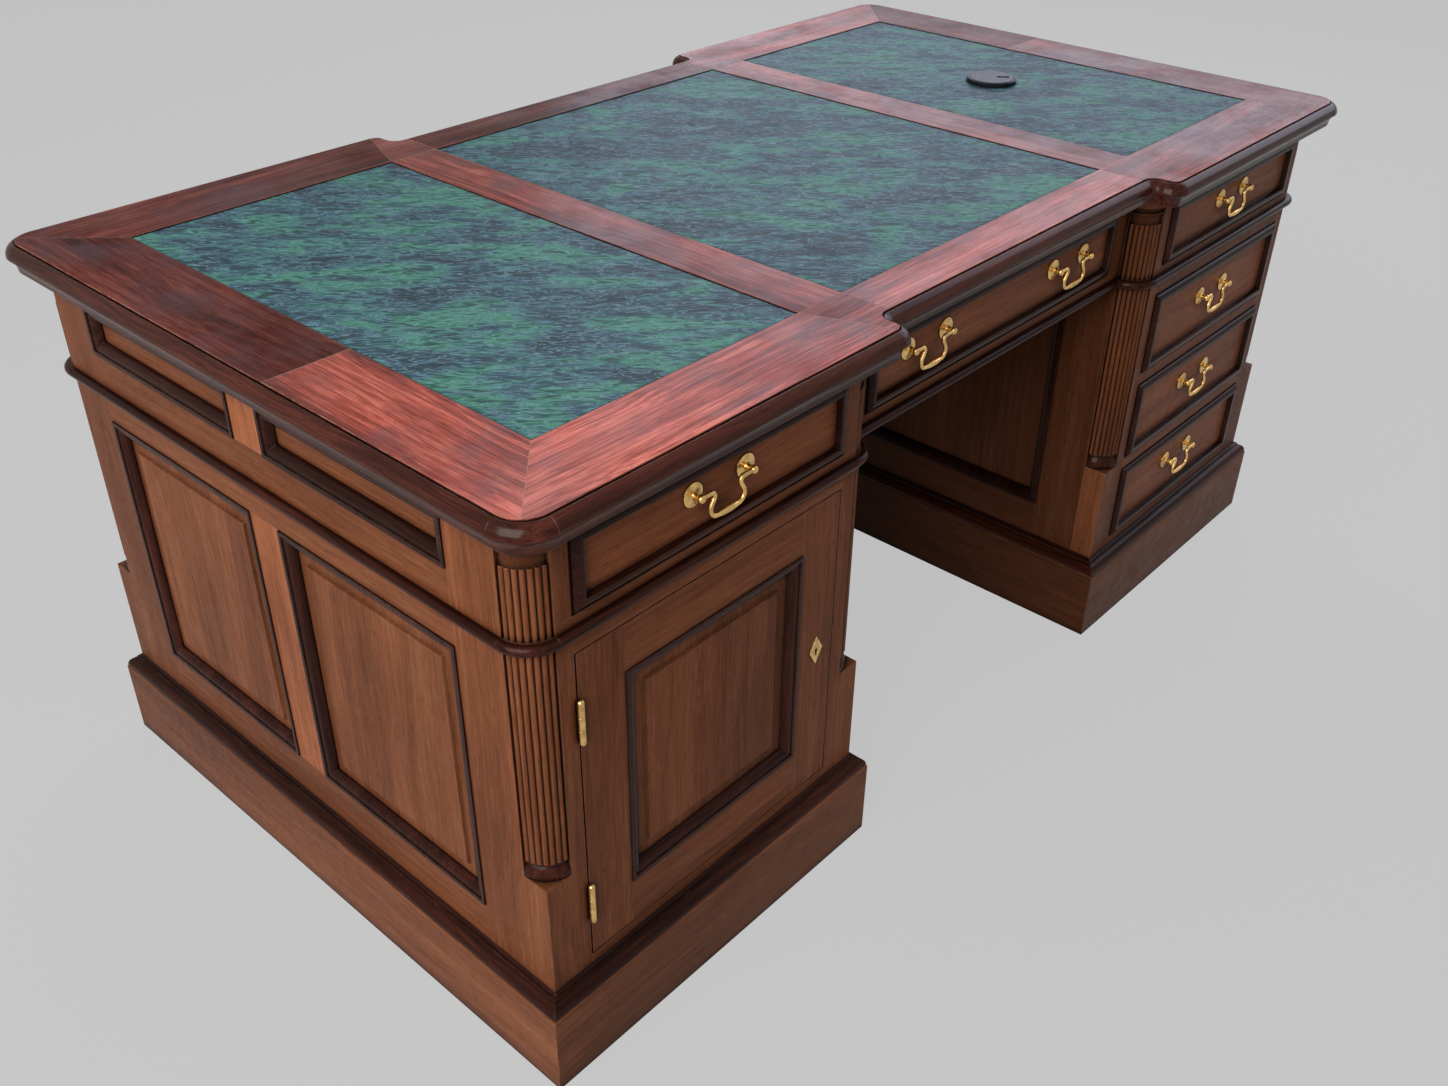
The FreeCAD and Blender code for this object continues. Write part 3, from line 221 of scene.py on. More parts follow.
class DeskWoodSettings(bpy.types.PropertyGroup):
    """Colours and gloss of the polished mahogany."""

    top_dark: colour("Top dark", "Darkest streaks of the top's rails", (0.060, 0.010, 0.006))
    top_mid: colour("Top middle", "Main colour of the top's rails", (0.205, 0.036, 0.022))
    top_light: colour("Top light", "Bright ribbons of the top's rails", (0.410, 0.108, 0.075))
    case_dark: colour("Case dark", "Darkest streaks of the case", (0.088, 0.025, 0.009))
    case_mid: colour("Case middle", "Main colour of the case", (0.155, 0.050, 0.020))
    case_light: colour("Case light", "Bright ribbons of the case", (0.235, 0.085, 0.037))
    mould: colour("Moulding", "Near-black red of the polished mouldings", (0.028, 0.007, 0.004))
    lining: colour("Lining", "Plain wood inside the drawers and the case", (0.230, 0.120, 0.055))
    worn: colour("Worn edge", "Bare wood where polish has worn off an edge", (0.560, 0.310, 0.200))
    # Near-black painted shade for corners, gaps and the lock's hole
    painted_shade: colour("Grime", "Old wax and dirt in the corners", (0.005, 0.002, 0.002))
    # Purple-grey haze on the top: partly polish bloom, partly a painted sheen
    bloom_sheen: colour("Bloom", "Purple-grey bloom on the top's polish", (0.090, 0.045, 0.055))
    top_polish: factor("Top polish", "Roughness of the top's polish", 0.20)
    case_polish: factor("Case polish", "Roughness of the case's polish", 0.34)
    mould_polish: factor("Moulding polish", "Roughness of the mouldings' polish", 0.18)
    top_dull: factor("Top dull", "Sheen of the dullest patches of the top", 0.03)
    top_sheen: factor("Top sheen", "Sheen of the brightest patches of the top", 0.12)
    case_sheen: factor("Case sheen", "Sheen of the case", 0.05)
    mould_sheen: factor("Moulding sheen", "Sheen of the mouldings", 0.09)
    edge: length("Eased edge", "Radius of the softened arrises", 0.0020)
    joint: length("Joint", "Width of the lines where the top's rails meet", 0.0011)


class DeskLeatherSettings(bpy.types.PropertyGroup):
    """Colours and relief of the leather panels."""

    # Blue-black: the hide's darkest tone, and also the painted shade in the ripples' troughs
    deep: colour("Deep", "Blue-black troughs of the hide", (0.018, 0.036, 0.048))
    ground: colour("Ground", "Main slate teal of the hide", (0.034, 0.080, 0.116))
    bright: colour("Bright", "Green streaks", (0.050, 0.195, 0.128))
    # Pale blue-grey painted highlight on the ripples' crests and in fine glints
    crest: colour("Crest", "Rubbed tops of the ripples", (0.150, 0.290, 0.330))
    # Near-black painted shade on the hide's rolled edge
    rim: colour("Rim", "Burnished edge of the hide", (0.010, 0.012, 0.012))
    sheen: factor("Sheen", "Sheen of the hide", 0.06)
    relief: length("Relief", "Height of the ripples", 0.0007)
    swell: length("Swell", "Unevenness of the hide's surface", 0.0002)
    roll: length("Roll", "Width of the rolled edge", 0.0016)
    cell: length("Cell", "Spacing of the hide's mesh", 0.008)
    lay: turn("Lay", "Direction of the ripples", -48.0)


class DeskMetalSettings(bpy.types.PropertyGroup):
    """Colours of the brass and of the cable grommet."""

    brass: colour("Brass", "Polished brass", (0.88, 0.57, 0.21))
    tarnish: colour("Tarnish", "Brass in the hollows", (0.20, 0.11, 0.035))
    grommet: colour("Grommet", "Black moulded plastic", (0.010, 0.011, 0.013))
    dust: colour("Dust", "Dust on the plastic", (0.30, 0.30, 0.30))
    sheen: factor("Plastic sheen", "Sheen of the plastic", 0.06)


class DeskStageSettings(bpy.types.PropertyGroup):
    """Camera, floor and lights."""

    floor: colour("Floor", "Pale floor and background", (0.571, 0.571, 0.571))
    lens: bpy.props.FloatProperty(
        name="Lens", description="Focal length on a 36 mm wide sensor", default=34.732, min=10.0,
        unit="CAMERA",
    )
    camera_place: bpy.props.FloatVectorProperty(
        name="Camera place", description="Where the camera stands", default=(-1.5042, -1.2686, 1.4298),
        size=3, subtype="TRANSLATION", unit="LENGTH",
    )
    azimuth: turn("Azimuth", "Direction of the camera round the desk", -48.387)
    elevation: turn("Elevation", "Camera's angle above the horizon", 33.669)
    roll: turn("Roll", "Camera's tilt about its own line of sight", 0.7695)
    sky_tint: colour("Sky tint", "Colour of the even light", (0.93, 0.96, 1.0))
    sky: power("Sky", "Strength of the even light", 0.16)
    left: power("Left", "Power of the left light", 150.0)
    strip: power("Strip", "Power of the narrow light that draws the mouldings' highlights", 30.0)
    far: power("Far", "Power of the far light", 110.0)


def place(tree, kind, inputs=None, **settings):
    """One node with its settings, and its inputs set to values or linked from other nodes."""
    made = tree.nodes.new(kind)
    for key, value in settings.items():
        setattr(made, key, value)
    for key, value in (inputs or {}).items():
        if isinstance(value, bpy.types.NodeSocket):
            tree.links.new(value, made.inputs[key])
        else:
            made.inputs[key].default_value = value
    return made


def solid(rgb):
    """A colour with full alpha."""
    return (rgb[0], rgb[1], rgb[2], 1.0)


def shaded(rgb, share):
    """A colour made lighter or darker."""
    return tuple(min(part * share, 1.0) for part in rgb)


def ramp(tree, amount, stops):
    """The colour output of a ramp through (position, colour or grey) stops."""
    made = place(tree, "ShaderNodeValToRGB", {"Fac": amount})
    elements = made.color_ramp.elements
    while len(elements) < len(stops):
        elements.new(0.5)
    for element, (position, value) in zip(elements, stops):
        element.position = position
        element.color = (value, value, value, 1.0) if isinstance(value, float) else solid(value)
    return made.outputs["Color"]


def sum_of(tree, operation, first, second=0.0, clamp=False):
    """The result of one sum on two values."""
    values = {0: first, 1: second}
    return place(tree, "ShaderNodeMath", values, operation=operation, use_clamp=clamp).outputs[0]


def weighted(tree, parts):
    """The sum of (value, weight) parts."""
    total = None
    for value, weight in parts:
        scaled = sum_of(tree, "MULTIPLY", value, weight)
        total = scaled if total is None else sum_of(tree, "ADD", total, scaled)
    return total


def mix(tree, amount, first, second, blend="MIX"):
    """One colour over another by an amount."""
    return place(
        tree, "ShaderNodeMix", {"Factor": amount, 6: first, 7: second}, data_type="RGBA", blend_type=blend
    ).outputs[2]


def stretched_noise(tree, coords, scale, detail, roughness=0.55, distortion=0.0):
    """Noise on coordinates that are scaled differently along each axis."""
    mapped = place(tree, "ShaderNodeMapping", {"Vector": coords, "Scale": scale}).outputs["Vector"]
    return place(tree, "ShaderNodeTexNoise", {
        "Vector": mapped, "Scale": 1.0, "Detail": detail, "Roughness": roughness, "Distortion": distortion,
    }).outputs["Fac"]


def along(grain, run, cross):
    """Scale of a grain texture that runs along one axis."""
    return tuple(run if axis == grain else cross for axis in "xyz")


def new_material(name):
    """An empty material with its tree, shader and coordinates."""
    material = bpy.data.materials.new(name)
    material.use_nodes = True
    tree = material.node_tree
    tree.nodes.clear()
    shader = place(tree, "ShaderNodeBsdfPrincipled")
    output = place(tree, "ShaderNodeOutputMaterial", {"Surface": shader.outputs["BSDF"]})
    output.is_active_output = True
    coords = place(tree, "ShaderNodeTexCoord").outputs["Object"]
    return material, tree, shader, coords


def wire(tree, shader, base, rough, normal):
    """Link a finish's colour, roughness and normal to its shader."""
    tree.links.new(base, shader.inputs["Base Color"])
    tree.links.new(rough, shader.inputs["Roughness"])
    tree.links.new(normal, shader.inputs["Normal"])


def bumped(tree, height, strength, distance, normal=None):
    """The normal of a surface raised by a height, over another normal where one is given."""
    inputs = {"Height": height, "Strength": strength, "Distance": distance}
    if normal is not None:
        inputs["Normal"] = normal
    return place(tree, "ShaderNodeBump", inputs).outputs["Normal"]


def edge_mask(tree, radius):
    """(normal eased over the arrises, how near a surface is to an arris)."""
    eased = place(tree, "ShaderNodeBevel", {"Radius": radius}, samples=4).outputs["Normal"]
    flat = place(tree, "ShaderNodeNewGeometry").outputs["Normal"]
    facing = place(tree, "ShaderNodeVectorMath", {0: eased, 1: flat}, operation="DOT_PRODUCT")
    return eased, sum_of(tree, "SUBTRACT", 1.0, facing.outputs["Value"], clamp=True)


def crevice(tree, distance):
    """1 in the open and 0 deep in a corner."""
    return place(tree, "ShaderNodeAmbientOcclusion", {"Distance": distance}, samples=5).outputs["AO"]


def within(tree, value, reach):
    """1 where a value is nearer to zero than a reach."""
    return sum_of(tree, "LESS_THAN", sum_of(tree, "ABSOLUTE", value), reach)


def axes_of(tree, coords):
    """The x, y and z of coordinates."""
    return place(tree, "ShaderNodeSeparateXYZ", {"Vector": coords}).outputs


def top_joints(tree, coords, width):
    """1 on the lines where the top's rails meet: mitres, blocks at the break and the rails' ends."""
    axes = axes_of(tree, coords)
    x = sum_of(tree, "ABSOLUTE", axes["X"])
    past_x = sum_of(tree, "SUBTRACT", x, HIDE_X)
    past_y = sum_of(tree, "SUBTRACT", sum_of(tree, "ABSOLUTE", axes["Y"]), HIDE_Y)
    mitre = within(tree, sum_of(tree, "SUBTRACT", past_x, past_y), width * MITRE_LINE)
    leaning = sum_of(tree, "ADD", x, sum_of(tree, "MULTIPLY", past_y, BLOCK_LEAN))
    outer = within(tree, sum_of(tree, "SUBTRACT", leaning, SIDE_HIDE_X), width * PLAIN_LINE)
    inner = within(tree, sum_of(tree, "SUBTRACT", x, CENTRE_HIDE_X), width * BLOCK_LINE)
    block = sum_of(tree, "MAXIMUM", outer, inner)
    block = sum_of(tree, "MULTIPLY", block, sum_of(tree, "GREATER_THAN", past_y, 0.0))
    on_cross = sum_of(tree, "SUBTRACT", x, (CENTRE_HIDE_X + SIDE_HIDE_X) / 2)
    cross = within(tree, on_cross, (SIDE_HIDE_X - CENTRE_HIDE_X) / 2)
    cross = sum_of(tree, "MULTIPLY", cross, within(tree, past_y, width * PLAIN_LINE))
    across = sum_of(tree, "MULTIPLY", axes["Y"], sum_of(tree, "SIGN", axes["X"]))
    end = within(tree, sum_of(tree, "SUBTRACT", across, END_JOINT_Y), width * PLAIN_LINE)
    end = sum_of(tree, "MULTIPLY", end, sum_of(tree, "GREATER_THAN", past_x, 0.0))
    corners = sum_of(tree, "MAXIMUM", mitre, block)
    return sum_of(tree, "MAXIMUM", corners, sum_of(tree, "MAXIMUM", cross, end))


def keyhole(tree, coords):
    """1 on the wood behind the escutcheon's keyhole, where shade is painted in place of the lock's hole."""
    axes = axes_of(tree, coords)
    beside = sum_of(tree, "SUBTRACT", sum_of(tree, "ABSOLUTE", axes["X"]), KEYHOLE_X)
    above = sum_of(tree, "SUBTRACT", axes["Z"], KEYHOLE_Z)
    outside = sum_of(tree, "GREATER_THAN", sum_of(tree, "ABSOLUTE", axes["Y"]), CASE_Y - PANEL_DEPTH)
    spot = sum_of(tree, "MULTIPLY", within(tree, beside, KEYHOLE_SHADE_X), within(tree, above, KEYHOLE_SHADE_Z))
    return sum_of(tree, "MULTIPLY", spot, outside)


def mahogany(name, grain, tones, wood, gloss, wear, seed, spread, patchy, marks=None):
    """Polished mahogany and its shader, grained along one axis. Marks gives a mask and its colour."""
    material, tree, shader, place_coords = new_material(name)
    shift = {"Vector": place_coords, "Location": [seed * step for step in SEED_STEP]}
    coords = place(tree, "ShaderNodeMapping", shift).outputs["Vector"]
    sway = stretched_noise(tree, coords, along(grain, *SWAY), 2.0)
    bend = sum_of(tree, "MULTIPLY", sum_of(tree, "SUBTRACT", sway, 0.5), SWAY_WIDTH)
    figure = place(tree, "ShaderNodeVectorMath", {0: coords, 1: bend}, operation="ADD").outputs["Vector"]
    ribbon = stretched_noise(tree, figure, along(grain, *RIBBON), 3.0)
    streak = stretched_noise(tree, figure, along(grain, *STREAK), 4.0, 0.65)
    hair = stretched_noise(tree, figure, along(grain, *HAIR), 2.0)
    pore = stretched_noise(tree, figure, along(grain, *PORE), 2.0)
    cloud = stretched_noise(tree, coords, along(grain, *CLOUD), 3.0)
    dark, mid, light = tones
    tone = weighted(tree, [(ribbon, 0.34), (streak, 0.38), (hair, 0.28)])
    base = ramp(tree, tone, [(0.5 - spread, dark), (0.5, mid), (0.5 + spread, light)])
    flecks = ramp(tree, pore, [(0.60, 0.0), (0.68, 1.0)])
    base = mix(tree, sum_of(tree, "MULTIPLY", flecks, 0.6), base, solid(shaded(dark, 0.5)))
    patches = ramp(tree, cloud, [(0.36, 1.0 - patchy), (0.64, 1.0 + patchy)])
    base = mix(tree, 1.0, base, patches, "MULTIPLY")
    eased, near_edge = edge_mask(tree, wood.edge)
    chips = stretched_noise(tree, coords, CHIPS, 3.0)
    rubbed = ramp(tree, near_edge, [(0.03, 0.0), (0.15, 1.0)])
    worn = sum_of(tree, "MULTIPLY", rubbed, ramp(tree, chips, [(0.40, 0.25), (0.58, 1.0)]))
    base = mix(tree, sum_of(tree, "MULTIPLY", worn, wear), base, solid(wood.worn))
    if marks:
        mask, tint = marks(tree, place_coords)
        base = mix(tree, mask, base, tint)
    # Painted shade: corners and gaps are darkened where occlusion says shade falls
    wide_corner_shade = ramp(tree, crevice(tree, CORNER_SHADE_REACH), [(0.35, 0.60), (0.90, 0.0)])
    base = mix(tree, wide_corner_shade, base, solid(wood.painted_shade))
    gap_shade = ramp(tree, crevice(tree, GAP_SHADE_REACH), [(0.40, 1.0), (0.85, 0.0)])
    base = mix(tree, gap_shade, base, solid(wood.painted_shade))
    rough = ramp(tree, chips, [(0.30, gloss * 0.8), (0.75, gloss * 1.4)])
    relief = weighted(tree, [(streak, 0.4), (flecks, -0.25)])
    wire(tree, shader, base, rough, bumped(tree, relief, 0.08, GRAIN_RELIEF, eased))
    return material, shader


def top_mahogany(name, grain, share, wood):
    """Bright red mahogany of the top, with its rails' joints and a purple-grey haze on its polish that is
    partly bloom and partly a painted sheen.
    """
    tones = [shaded(tone, share) for tone in (wood.top_dark, wood.top_mid, wood.top_light)]

    def joints_and_bloom_sheen(tree, coords):
        lines = sum_of(tree, "MULTIPLY", top_joints(tree, coords, wood.joint), 0.6)
        # Haze patches: partly bloom on the polish, partly a painted sheen
        breath = stretched_noise(tree, coords, HAZE, 4.0, 0.6)
        haze = ramp(tree, breath, [(0.52, 0.0), (0.68, 0.6)])
        tint = mix(tree, lines, solid(wood.bloom_sheen), solid(shaded(wood.worn, 0.7)))
        return sum_of(tree, "MAXIMUM", lines, haze), tint

    material, shader = mahogany(
        name, grain, tones, wood, gloss=wood.top_polish, wear=0.85, seed=1.0 + share, spread=0.105,
        patchy=0.34, marks=joints_and_bloom_sheen,
    )
    tree = material.node_tree
    coords = place(tree, "ShaderNodeTexCoord").outputs["Object"]
    dullness = stretched_noise(tree, coords, DULLNESS, 4.0, 0.6)
    sheen = ramp(tree, dullness, [(0.32, wood.top_dull * share), (0.68, wood.top_sheen * share)])
    tree.links.new(sheen, shader.inputs["Specular IOR Level"])
    return material


def case_mahogany(name, grain, share, wood, marks=None):
    """Even satin mahogany of the case."""
    tones = [shaded(tone, share) for tone in (wood.case_dark, wood.case_mid, wood.case_light)]
    material, shader = mahogany(
        name, grain, tones, wood, gloss=wood.case_polish, wear=0.35, seed=2.0 + share, spread=0.16,
        patchy=0.18, marks=marks,
    )
    shader.inputs["Specular IOR Level"].default_value = wood.case_sheen
    return material


def lock_mahogany(name, grain, share, wood):
    """Mahogany of a door's closing stile, with painted shade where the hole of its lock shows."""
    def hole(tree, coords):
        return keyhole(tree, coords), solid(wood.painted_shade)

    return case_mahogany(name, grain, share, wood, hole)


def mould_mahogany(name, grain, share, wood):
    """Near-black glossy mahogany of the mouldings."""
    tones = [shaded(wood.mould, part * share) for part in MOULD_TONES]
    material, shader = mahogany(
        name, grain, tones, wood, gloss=wood.mould_polish, wear=0.12, seed=3.0, spread=0.10, patchy=0.2,
    )
    shader.inputs["Specular IOR Level"].default_value = wood.mould_sheen * share
    return material


def hide_finish(settings):
    """Rippled slate-teal leather with green streaks, painted shade in its ripples' troughs and painted
    highlights on their crests.
    """
    material, tree, shader, coords = new_material("rippled_leather")
    turned = {"Vector": coords, "Rotation": (0.0, 0.0, -settings.lay)}
    laid = place(tree, "ShaderNodeMapping", turned).outputs["Vector"]
    patch = stretched_noise(tree, laid, HIDE_PATCH, 4.0, 0.65, 0.5)
    drift = stretched_noise(tree, laid, HIDE_DRIFT, 3.0, 0.6, 0.4)
    ripple = stretched_noise(tree, laid, HIDE_RIPPLE, 2.0, 0.5, 1.4)
    glint = stretched_noise(tree, laid, HIDE_GLINT, 2.0, 0.5, 0.4)
    tone = weighted(tree, [(patch, 0.75), (drift, 0.25)])
    base = ramp(tree, tone, [(0.42, settings.deep), (0.48, settings.ground), (0.58, settings.bright)])
    # Painted shade in the ripples' troughs
    base = mix(tree, ramp(tree, ripple, [(0.36, 0.8), (0.48, 0.0)]), base, solid(settings.deep))
    # Painted highlights: pale blue-grey along the ripples' crests and in fine glints
    crest_highlight = sum_of(tree, "ABSOLUTE", sum_of(tree, "SUBTRACT", ripple, 0.56))
    base = mix(tree, ramp(tree, crest_highlight, [(0.0, 0.75), (0.05, 0.0)]), base, solid(settings.crest))
    base = mix(tree, ramp(tree, glint, [(0.66, 0.0), (0.78, 0.7)]), base, solid(settings.crest))
    height = weighted(tree, [(ripple, 1.0), (drift, 0.5), (glint, 0.12)])
    rough = ramp(tree, drift, [(0.35, 0.36), (0.70, 0.50)])
    wire(tree, shader, base, rough, bumped(tree, height, 0.7, settings.relief))
    shader.inputs["Specular IOR Level"].default_value = settings.sheen
    return material


def edge_shade_finish(settings):
    """Near-black painted shade on the hide's rolled edge, mottled with the ground colour."""
    material, tree, shader, coords = new_material("burnished_leather")
    rub = stretched_noise(tree, coords, RIM_RUB, 3.0)
    base = mix(tree, ramp(tree, rub, [(0.50, 0.0), (0.75, 0.5)]), solid(settings.rim), solid(settings.ground))
    rough = ramp(tree, rub, [(0.30, 0.45), (0.75, 0.65)])
    wire(tree, shader, base, rough, bumped(tree, rub, 0.2, RIM_RELIEF))
    return material


def polished_brass(settings):
    """Brass with tarnish in its hollows and fine rubbing marks."""
    material, tree, shader, coords = new_material("polished_brass")
    rub = stretched_noise(tree, coords, BRASS_RUB, 3.0)
    cloud = stretched_noise(tree, coords, BRASS_CLOUD, 3.0)
    eased, near_edge = edge_mask(tree, BRASS_EDGE)
    stain = ramp(tree, cloud, [(0.42, 0.0), (0.72, 0.55)])
    base = mix(tree, stain, solid(settings.brass), solid(settings.tarnish))
    hollow = ramp(tree, crevice(tree, TARNISH_REACH), [(0.20, 1.0), (0.80, 0.0)])
    base = mix(tree, hollow, base, solid(settings.tarnish))
    rubbed = ramp(tree, near_edge, [(0.03, 0.0), (0.20, 0.8)])
    base = mix(tree, rubbed, base, solid(shaded(settings.brass, 1.15)))
    rough = ramp(tree, cloud, [(0.30, 0.20), (0.75, 0.40)])
    wire(tree, shader, base, rough, bumped(tree, rub, 0.12, FINE_RELIEF, eased))
    shader.inputs["Metallic"].default_value = 1.0
    return material


def moulded_plastic(settings):
    """Glossy black plastic with a little dust."""
    material, tree, shader, coords = new_material("moulded_plastic")
    dust = stretched_noise(tree, coords, PLASTIC_DUST, 4.0)
    film = ramp(tree, dust, [(0.55, 0.0), (0.85, 0.10)])
    base = mix(tree, film, solid(settings.grommet), solid(settings.dust))
    rough = ramp(tree, dust, [(0.30, 0.16), (0.75, 0.28)])
    wire(tree, shader, base, rough, bumped(tree, dust, 0.05, FINE_RELIEF))
    shader.inputs["Specular IOR Level"].default_value = settings.sheen
    return material


def plain_board(name, grain, rgb):
    """Waxed plain wood of drawer boxes and inner boards, with painted shade in its corners."""
    material, tree, shader, coords = new_material(name)
    streak = stretched_noise(tree, coords, along(grain, *LINING_STREAK), 4.0, 0.6)
    stain = stretched_noise(tree, coords, LINING_STAIN, 3.0)
    base = ramp(tree, streak, [(0.36, shaded(rgb, 0.55)), (0.62, tuple(rgb))])
    base = mix(tree, 1.0, base, ramp(tree, stain, [(0.35, 0.72), (0.65, 1.1)]), "MULTIPLY")
    # Painted shade: the lining is darker where its corners are occluded
    corner_shade = ramp(tree, crevice(tree, LINING_SHADE_REACH), [(0.10, 0.35), (0.85, 1.0)])
    base = mix(tree, 1.0, base, corner_shade, "MULTIPLY")
    rough = ramp(tree, streak, [(0.30, 0.50), (0.75, 0.62)])
    wire(tree, shader, base, rough, bumped(tree, streak, 0.12, GRAIN_RELIEF))
    return material


def finish_of(name):
    """A finish by its kind, grain and shade, made once by the operator that needs it first."""
    made = bpy.data.materials.get(name)
    if made:
        return made
    wood = bpy.context.scene.desk_wood
    kind, grain, shade = name.split("_")
    share = BOARD_TONES_AND_SHADING[shade]
    if kind == "lining":
        return plain_board(name, grain, wood.lining)
    if kind == "top":
        return top_mahogany(name, grain, share, wood)
    if kind == "mould":
        return mould_mahogany(name, grain, share, wood)
    if kind == "lock":
        return lock_mahogany(name, grain, share, wood)
    return case_mahogany(name, grain, share, wood)


def paint(node, choose):
    """Give each face of a node the finish that choose names by the face's place."""
    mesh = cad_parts[node].data
    mesh.materials.clear()
    names = []
    for polygon in mesh.polygons:
        name = choose(polygon.center)
        if name not in names:
            names.append(name)
            mesh.materials.append(finish_of(name))
        polygon.material_index = names.index(name)


def cover(node, material):
    """Give a whole node one finish."""
    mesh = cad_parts[node].data
    mesh.materials.clear()
    mesh.materials.append(material)


def top_board(point):
    """Board of the top at a point: end and cross rails run across the desk, the others along it."""
    x, y = abs(point.x), abs(point.y)
    if x > HIDE_X and x - HIDE_X > y - HIDE_Y:
        if point.y > (END_JOINT_Y if point.x > 0 else -END_JOINT_Y):
            return "top_y_dark"
        return "top_y_plain" if point.x > 0 else "top_y_light"
    if y < HIDE_Y and x < SIDE_HIDE_X:
        return "top_y_plain"
    if CENTRE_HIDE_X < x < SIDE_HIDE_X or point.x >= SIDE_HIDE_X:
        return "top_x_plain"
    return "top_x_dark" if point.y > 0 else "top_x_light"


def edge_board(point):
    """Grain of the top's moulded edge: it follows the run."""
    return "mould_y_light" if EDGE_X - abs(point.x) < EDGE_Y - abs(point.y) else "mould_x_light"


def beside_kneehole(point):
    """Whether a point is on the walls of the kneehole, which are painted darker as shade."""
    return abs(point.x) < KNEEHOLE_X + KNEEHOLE_SHADE


def framed_board(point, panel_low, panel_high):
    """Grain of a side frame at a point: stiles and muntins stand, rails lie."""
    y = abs(point.y)
    # The kneehole's walls take the dark copy: painted shade
    shade = "dark" if beside_kneehole(point) else "plain"
    if y > CASE_Y - COLUMN_RECESS - STILE_WIDTH:
        return "case_z_" + shade
    if y < MUNTIN_WIDTH / 2 and panel_low < point.z < panel_high:
        return "case_z_light"
    return "case_y_" + shade


def case_board(point):
    """Grain of the pedestals and the frieze frame at a point, or lining inside them."""
    x, y = abs(point.x), abs(point.y)
    middle = (CASE_X + KNEEHOLE_X) / 2
    half_opening = (CASE_X - KNEEHOLE_X) / 2 - COLUMN_RECESS - POST_FACE
    over_kneehole = x < KNEEHOLE_X - FACE_SLACK
    face = CASE_Y - COLUMN_RECESS - (BREAK_DEPTH if over_kneehole else 0.0)
    if y > face - FACE_SLACK:
        if over_kneehole:
            upright = x > KNEEHOLE_X - CENTRE_STILE and point.z > FRIEZE_Z + CENTRE_RAIL
            return "case_z_plain" if upright else "case_x_plain"
        return "case_x_plain" if abs(x - middle) < half_opening + FACE_SLACK else "case_z_plain"
    if x < CASE_X - WALL_SLACK and abs(x - KNEEHOLE_X) > WALL_SLACK:
        return "lining_y_plain"
    if point.z > FRIEZE_Z:
        return framed_board(point, FRIEZE_PANEL_LOW, FRIEZE_PANEL_HIGH)
    return framed_board(point, SIDE_PANEL_LOW, SIDE_PANEL_HIGH)


def panel_board(point):
    """Grain and shade of the side panels: the tall ones stand and the frieze ones lie; those on the
    kneehole's walls are painted darker as shade.
    """
    grain = "y" if point.z > FRIEZE_Z else "z"
    return grain + ("_dark" if beside_kneehole(point) else "_plain")


def ring_run(point):
    """Grain and shade of a moulding carried round the desk: its grain follows the run."""
    to_end = min(abs(abs(point.x) - CASE_X), abs(abs(point.x) - KNEEHOLE_X))
    to_front = min(abs(abs(point.y) - CASE_Y), abs(abs(point.y) - CASE_Y + BREAK_DEPTH))
    return "x_plain" if to_front < to_end else "y_plain"


def ring_board(point):
    """Finish of the waist bead, which is dark, and of the cornice."""
    return ("mould_" if point.z < WAIST_TOP else "case_") + ring_run(point)


def plinth_board(point):
    """Finish of the plinths: brown boards under dark moulded heads."""
    if point.z > PLINTH_BOARD:
        return "mould_" + ring_run(point)
    # Inside the kneehole the plinth takes the dark copy: painted shade
    return "case_y_dark" if abs(point.x) < KNEEHOLE_X else "case_" + ring_run(point)


def column_part(point):
    """Finish of the columns: black turned bases, red reeds and brown capitals."""
    if point.z < BASE_TOP:
        return "mould_z_plain"
    return "case_z_deep" if point.z < REEDS_TOP else "case_x_dark"


def drawer_board(depth):
    """Finish of a drawer at a depth behind its moulding's crest; the fronts are painted lighter as sheen."""
    if depth < DRAWER_MOULD:
        return "mould_x_plain"
    # Drawer fronts take the light copy of the case finish: a painted sheen
    return "case_x_light" if depth < FRONT_THICK else "lining_y_plain"


def door_board(point):
    """Finish of a door at a point; the closing stile carries the painted shade of its lock's hole."""
    x = -abs(point.x)
    beside = min(x - DOOR_LOW.x, DOOR_HIGH.x - x) - DOOR_STILE
    above = min(point.z - DOOR_LOW.z - DOOR_FOOT, DOOR_HIGH.z - DOOR_HEAD - point.z)
    if 0.0 < min(beside, above) < PANEL_MOULD and abs(point.y) > -DOOR_LOW.y - PANEL_DEPTH:
        return "mould_x_plain" if above < beside else "mould_z_plain"
    if x > DOOR_HIGH.x - DOOR_STILE:
        return "lock_z_plain"
    return "case_x_plain" if above < 0.0 < beside else "case_z_plain"


class DESK_OT_finish_top(bpy.types.Operator):
    """Finish the top's rails, its moulded edge and the boards under the leather"""

    bl_idname = "desk.finish_top"
    bl_label = "Finish top"

    def execute(self, context):
        paint("top_rails", top_board)
        paint("top_edge", edge_board)
        paint("top_ground", lambda point: "lining_x_plain")
        return {"FINISHED"}


class DESK_OT_finish_case(bpy.types.Operator):
    """Finish the frieze, the pedestals, their columns, panels, mouldings and plinths"""

    bl_idname = "desk.finish_case"
    bl_label = "Finish case"

    def execute(self, context):
        for node in ("frieze_frame", "pedestal_left", "pedestal_right"):
            paint(node, case_board)
        paint("columns", column_part)
        paint("side_panels", lambda point: "case_" + panel_board(point))
        paint("panel_mouldings", lambda point: "mould_" + panel_board(point))
        paint("frieze_mouldings", ring_board)
        paint("plinths", plinth_board)
        return {"FINISHED"}


